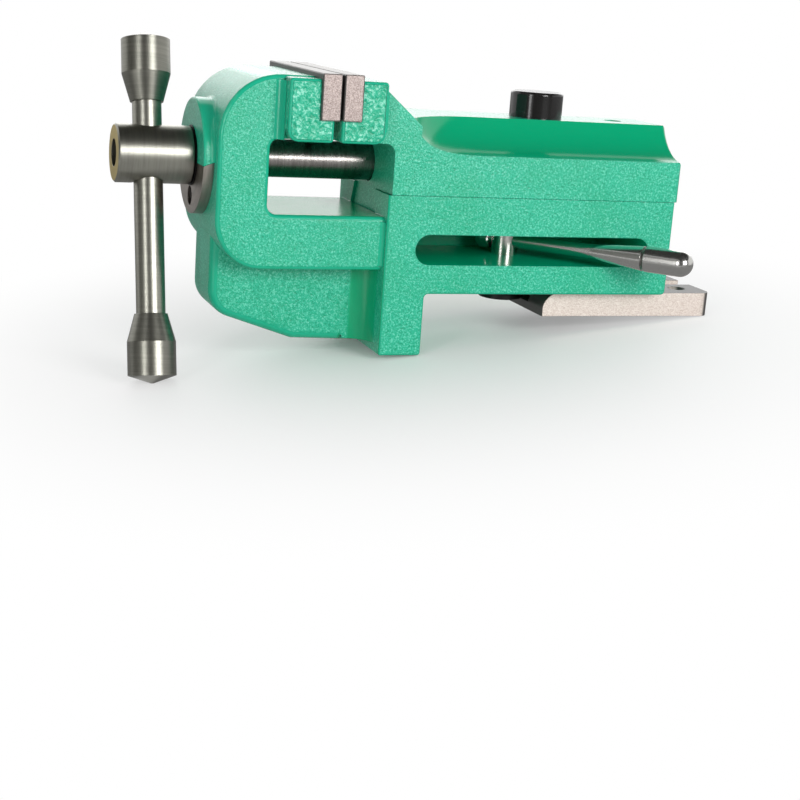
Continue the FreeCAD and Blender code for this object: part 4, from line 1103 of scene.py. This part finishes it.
@dataclass
class Studio:
    """Floor, light and camera."""

    eye: Point = (-0.255782, -0.48271, 0.100261)
    turn: float = math.radians(20.779)
    tip: float = math.radians(14.496)
    roll: float = math.radians(4.184)
    lens: float = 70.5
    sensor: float = 36.0
    sight: Span = (0.01, 20.0)
    leg_ahead: float = 44.4 * MM
    leg_inset: float = 0.2 * MM
    plate_inset: float = 1.2 * MM
    floor_reach: float = 1.6
    floor_colour: Colour = (0.93, 0.935, 0.93, 1.0)
    level_from: float = 0.045
    level_over: float = 0.05
    middle: Point = (-0.07, 0.0, 0.0)
    fade: Span = (-0.02, 0.2)
    mirrored_glow: float = 0.3
    reflection_strips_from: Point = (-0.168, -0.01, 0.0)
    reflection_strip_edge: Span = (0.3, 0.12)
    ambient: float = 0.45
    aim: Point = (-0.07, 0.0, 0.03)

    def camera(self) -> None:
        """Make the camera."""
        data = bpy.data.cameras.new("camera")
        data.lens = self.lens
        data.sensor_width = self.sensor
        data.clip_start, data.clip_end = self.sight
        camera = bpy.data.objects.new("camera", data)
        bpy.context.scene.collection.objects.link(camera)
        flat = math.cos(self.tip)
        ahead = Vector((math.sin(self.turn) * flat, math.cos(self.turn) * flat,
                        -math.sin(self.tip)))
        level = Vector((math.cos(self.turn), -math.sin(self.turn), 0.0))
        upright = level.cross(ahead)
        right = level * math.cos(self.roll) + upright * math.sin(self.roll)
        up = upright * math.cos(self.roll) - level * math.sin(self.roll)
        rotation = Matrix((right, up, -ahead)).transposed().to_4x4()
        camera.matrix_world = Matrix.Translation(self.eye) @ rotation
        bpy.context.scene.camera = camera

    def _rest_plane(self) -> tuple[float, float, float]:
        """The plane through the three points on which the vise stands.

        Returns:
            Its height at the origin and its rise along X and Y.
        """
        knob_low, knob_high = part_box("handle_knob_lower")
        head_low, head_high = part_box("spindle_head")
        drop = ((head_low.z + head_high.z) / 2 - knob_low.z) * math.tan(BAR_LEAN)
        tip = Vector(((knob_low.x + knob_high.x) / 2, -drop, knob_low.z))
        base_low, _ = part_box("base_casting")
        _, name_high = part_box("name_plate")
        plate_low, plate_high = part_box("bench_plate")
        leg = Vector((plate_low.x - self.leg_ahead, name_high.y - self.leg_inset, base_low.z))
        corner = Vector((plate_high.x - self.plate_inset, plate_low.y + self.plate_inset,
                         plate_low.z))
        normal = (leg - tip).cross(corner - tip)
        rise_x, rise_y = -normal.x / normal.z, -normal.y / normal.z
        return tip.z - rise_x * tip.x - rise_y * tip.y, rise_x, rise_y

    def floor(self) -> None:
        """Lay the sheet that the vise stands on; behind it the sheet bends level."""
        level, rise_x, rise_y = self._rest_plane()
        Workpiece.clear()
        bpy.ops.mesh.primitive_grid_add(x_subdivisions=160, y_subdivisions=40,
                                        size=2 * self.floor_reach)
        floor = bpy.context.active_object
        floor.name = "floor"
        for vertex in floor.data.vertices:
            x, y, _ = vertex.co
            past = max(0.0, x - self.level_from)
            run = x - past + self.level_over * (1.0 - math.exp(-past / self.level_over))
            vertex.co.z = level + rise_x * run + rise_y * y
        bpy.ops.object.shade_smooth()
        floor.data.materials.append(self._floor_material())

    def _floor_material(self) -> bpy.types.Material:
        """Pale sheet that fades to white around the vise and shines in its metal; there it glows,
        with bright strips that are painted reflections of lamps.

        Returns:
            The material.
        """
        graph, shader, material = blank_material("pale_floor")
        surface = shader.outputs[0].links[0].to_socket
        shader.inputs["Base Color"].default_value = self.floor_colour
        shader.inputs["Roughness"].default_value = 0.6
        shader.inputs["Specular IOR Level"].default_value = 0.2
        glow = graph.node("ShaderNodeEmission")
        path = graph.node("ShaderNodeLightPath")
        seen, mirrored = path.outputs["Is Camera Ray"], path.outputs["Is Glossy Ray"]
        place = graph.own()
        away = graph.vector("LENGTH", graph.vector("SUBTRACT", place, self.middle))
        fade = graph.times(seen, graph.step(away, *self.fade))
        # Painted reflections: the floor glows only for glossy rays, and two bright strips stand in
        # for lamps mirrored in the handle.
        reflection_strips = graph.math("ADD", self._painted_reflection_strip(graph, place, (-0.922, -0.387, 0.0), 1.0),
                           self._painted_reflection_strip(graph, place, (0.416, -0.909, 0.0), 0.45))
        mirrored_glow = graph.math("ADD", self.mirrored_glow, reflection_strips)
        graph.feed(glow.inputs["Strength"], graph.math("ADD", seen, graph.times(mirrored, mirrored_glow)))
        blend = graph.node("ShaderNodeMixShader")
        graph.feed(blend.inputs[0], graph.most(fade, mirrored))
        graph.feed(blend.inputs[1], shader.outputs[0])
        graph.feed(blend.inputs[2], glow.outputs[0])
        graph.feed(surface, blend.outputs[0])
        return material

    def _painted_reflection_strip(self, graph: Graph, place: Value, along: Point, strength: float) -> Value:
        """A painted reflection: a bright strip, seen only in the metal, that runs from the handle
        outwards over the floor.

        Args:
            graph: the floor's graph.
            place: the point on the floor.
            along: level direction of the strip.
            strength: its brightness.

        Returns:
            The strip's brightness at the point.
        """
        arm = graph.vector("SUBTRACT", place, self.reflection_strips_from)
        run = graph.most(graph.vector("DOT_PRODUCT", arm, along), MM)
        across = graph.vector("DOT_PRODUCT", arm, (-along[1], along[0], 0.0))
        slant = graph.math("DIVIDE", graph.math("ABSOLUTE", across), run)
        return graph.times(graph.step(slant, *self.reflection_strip_edge), strength)

    def world(self) -> None:
        """Even white surroundings, dimmer for what they light than for what is seen."""
        world = bpy.data.worlds.new("studio")
        bpy.context.scene.world = world
        world.use_nodes = True
        world.node_tree.nodes.clear()
        graph = Graph(world.node_tree)
        path = graph.node("ShaderNodeLightPath")
        seen = graph.most(*(path.outputs[f"Is {ray} Ray"]
                            for ray in ("Camera", "Glossy", "Transmission")))
        background = graph.node("ShaderNodeBackground")
        graph.feed(background.inputs["Color"], (1.0, 1.0, 1.0, 1.0))
        graph.feed(background.inputs["Strength"], graph.spread(seen, self.ambient, 1.0))
        output = graph.node("ShaderNodeOutputWorld")
        graph.feed(output.inputs["Surface"], background.outputs[0])

    def lamp(self, name: str, place: Point, size: Span, power: float) -> None:
        """Hang a soft lamp that points at the vise.

        Args:
            name: its name.
            place: where it hangs.
            size: width and height.
            power: watts.
        """
        data = bpy.data.lights.new(name, "AREA")
        data.shape = "RECTANGLE"
        data.size, data.size_y = size
        data.energy = power
        lamp = bpy.data.objects.new(name, data)
        lamp.location = place
        towards = Vector(self.aim) - Vector(place)
        lamp.rotation_euler = towards.to_track_quat("-Z", "Y").to_euler()
        lamp.visible_camera = False
        bpy.context.scene.collection.objects.link(lamp)

    def card(self, name: str, place: Point, aim: Point, size: Span, shade: float) -> None:
        """Stand a card that only reflections see.

        Args:
            name: its name.
            place: its middle.
            aim: what it faces.
            size: width and height.
            shade: its grey.
        """
        Workpiece.clear()
        bpy.ops.mesh.primitive_plane_add(size=1.0, location=place)
        card = bpy.context.active_object
        card.name = name
        card.scale = (*size, 1.0)
        card.rotation_euler = (Vector(aim) - Vector(place)).to_track_quat("Z", "Y").to_euler()
        card.visible_camera = False
        card.visible_diffuse = False
        card.visible_shadow = False
        _, shader, material = blank_material(name)
        shader.inputs["Base Color"].default_value = (shade, shade, shade * 0.95, 1.0)
        shader.inputs["Roughness"].default_value = 0.9
        card.data.materials.append(material)

    def light(self) -> None:
        """Hang the lamps and stand the cards."""
        self.lamp("right", (0.22, -0.95, 0.36), (0.4, 0.4), 6.8)
        self.lamp("left", (-0.82, -0.62, 0.22), (0.16, 0.5), 1.8)
        self.lamp("back", (0.3, 0.9, 0.42), (1.4, 0.5), 3.7)
        self.card("ceiling_card", (0.1, -0.15, 0.8), (0.1, -0.15, 0.0), (1.8, 1.5), 0.04)
        self.card("front_card", (0.1, -1.15, 0.45), (0.1, 0.0, 0.45), (2.2, 1.15), 0.1)
        self.card("left_card", (-1.1, -0.35, 0.4), (0.0, -0.35, 0.4), (1.4, 1.1), 0.2)

    def build(self) -> None:
        """Set the stage."""
        self.camera()
        self.floor()
        self.world()
        self.light()
        bpy.context.scene.view_settings.view_transform = "Standard"


def main() -> None:
    """Dress the vise and set its stage."""
    logging.basicConfig(level=logging.INFO, format="%(name)s: %(message)s")
    FRAME.update(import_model())
    effects = Effects()
    for unit in (Castings, Jaws, ReleaseUnit, SpindleUnit, HandleUnit, LeverLock, NamePlate):
        unit(effects).dress()
    Studio().build()


if __name__ == "__main__":
    main()
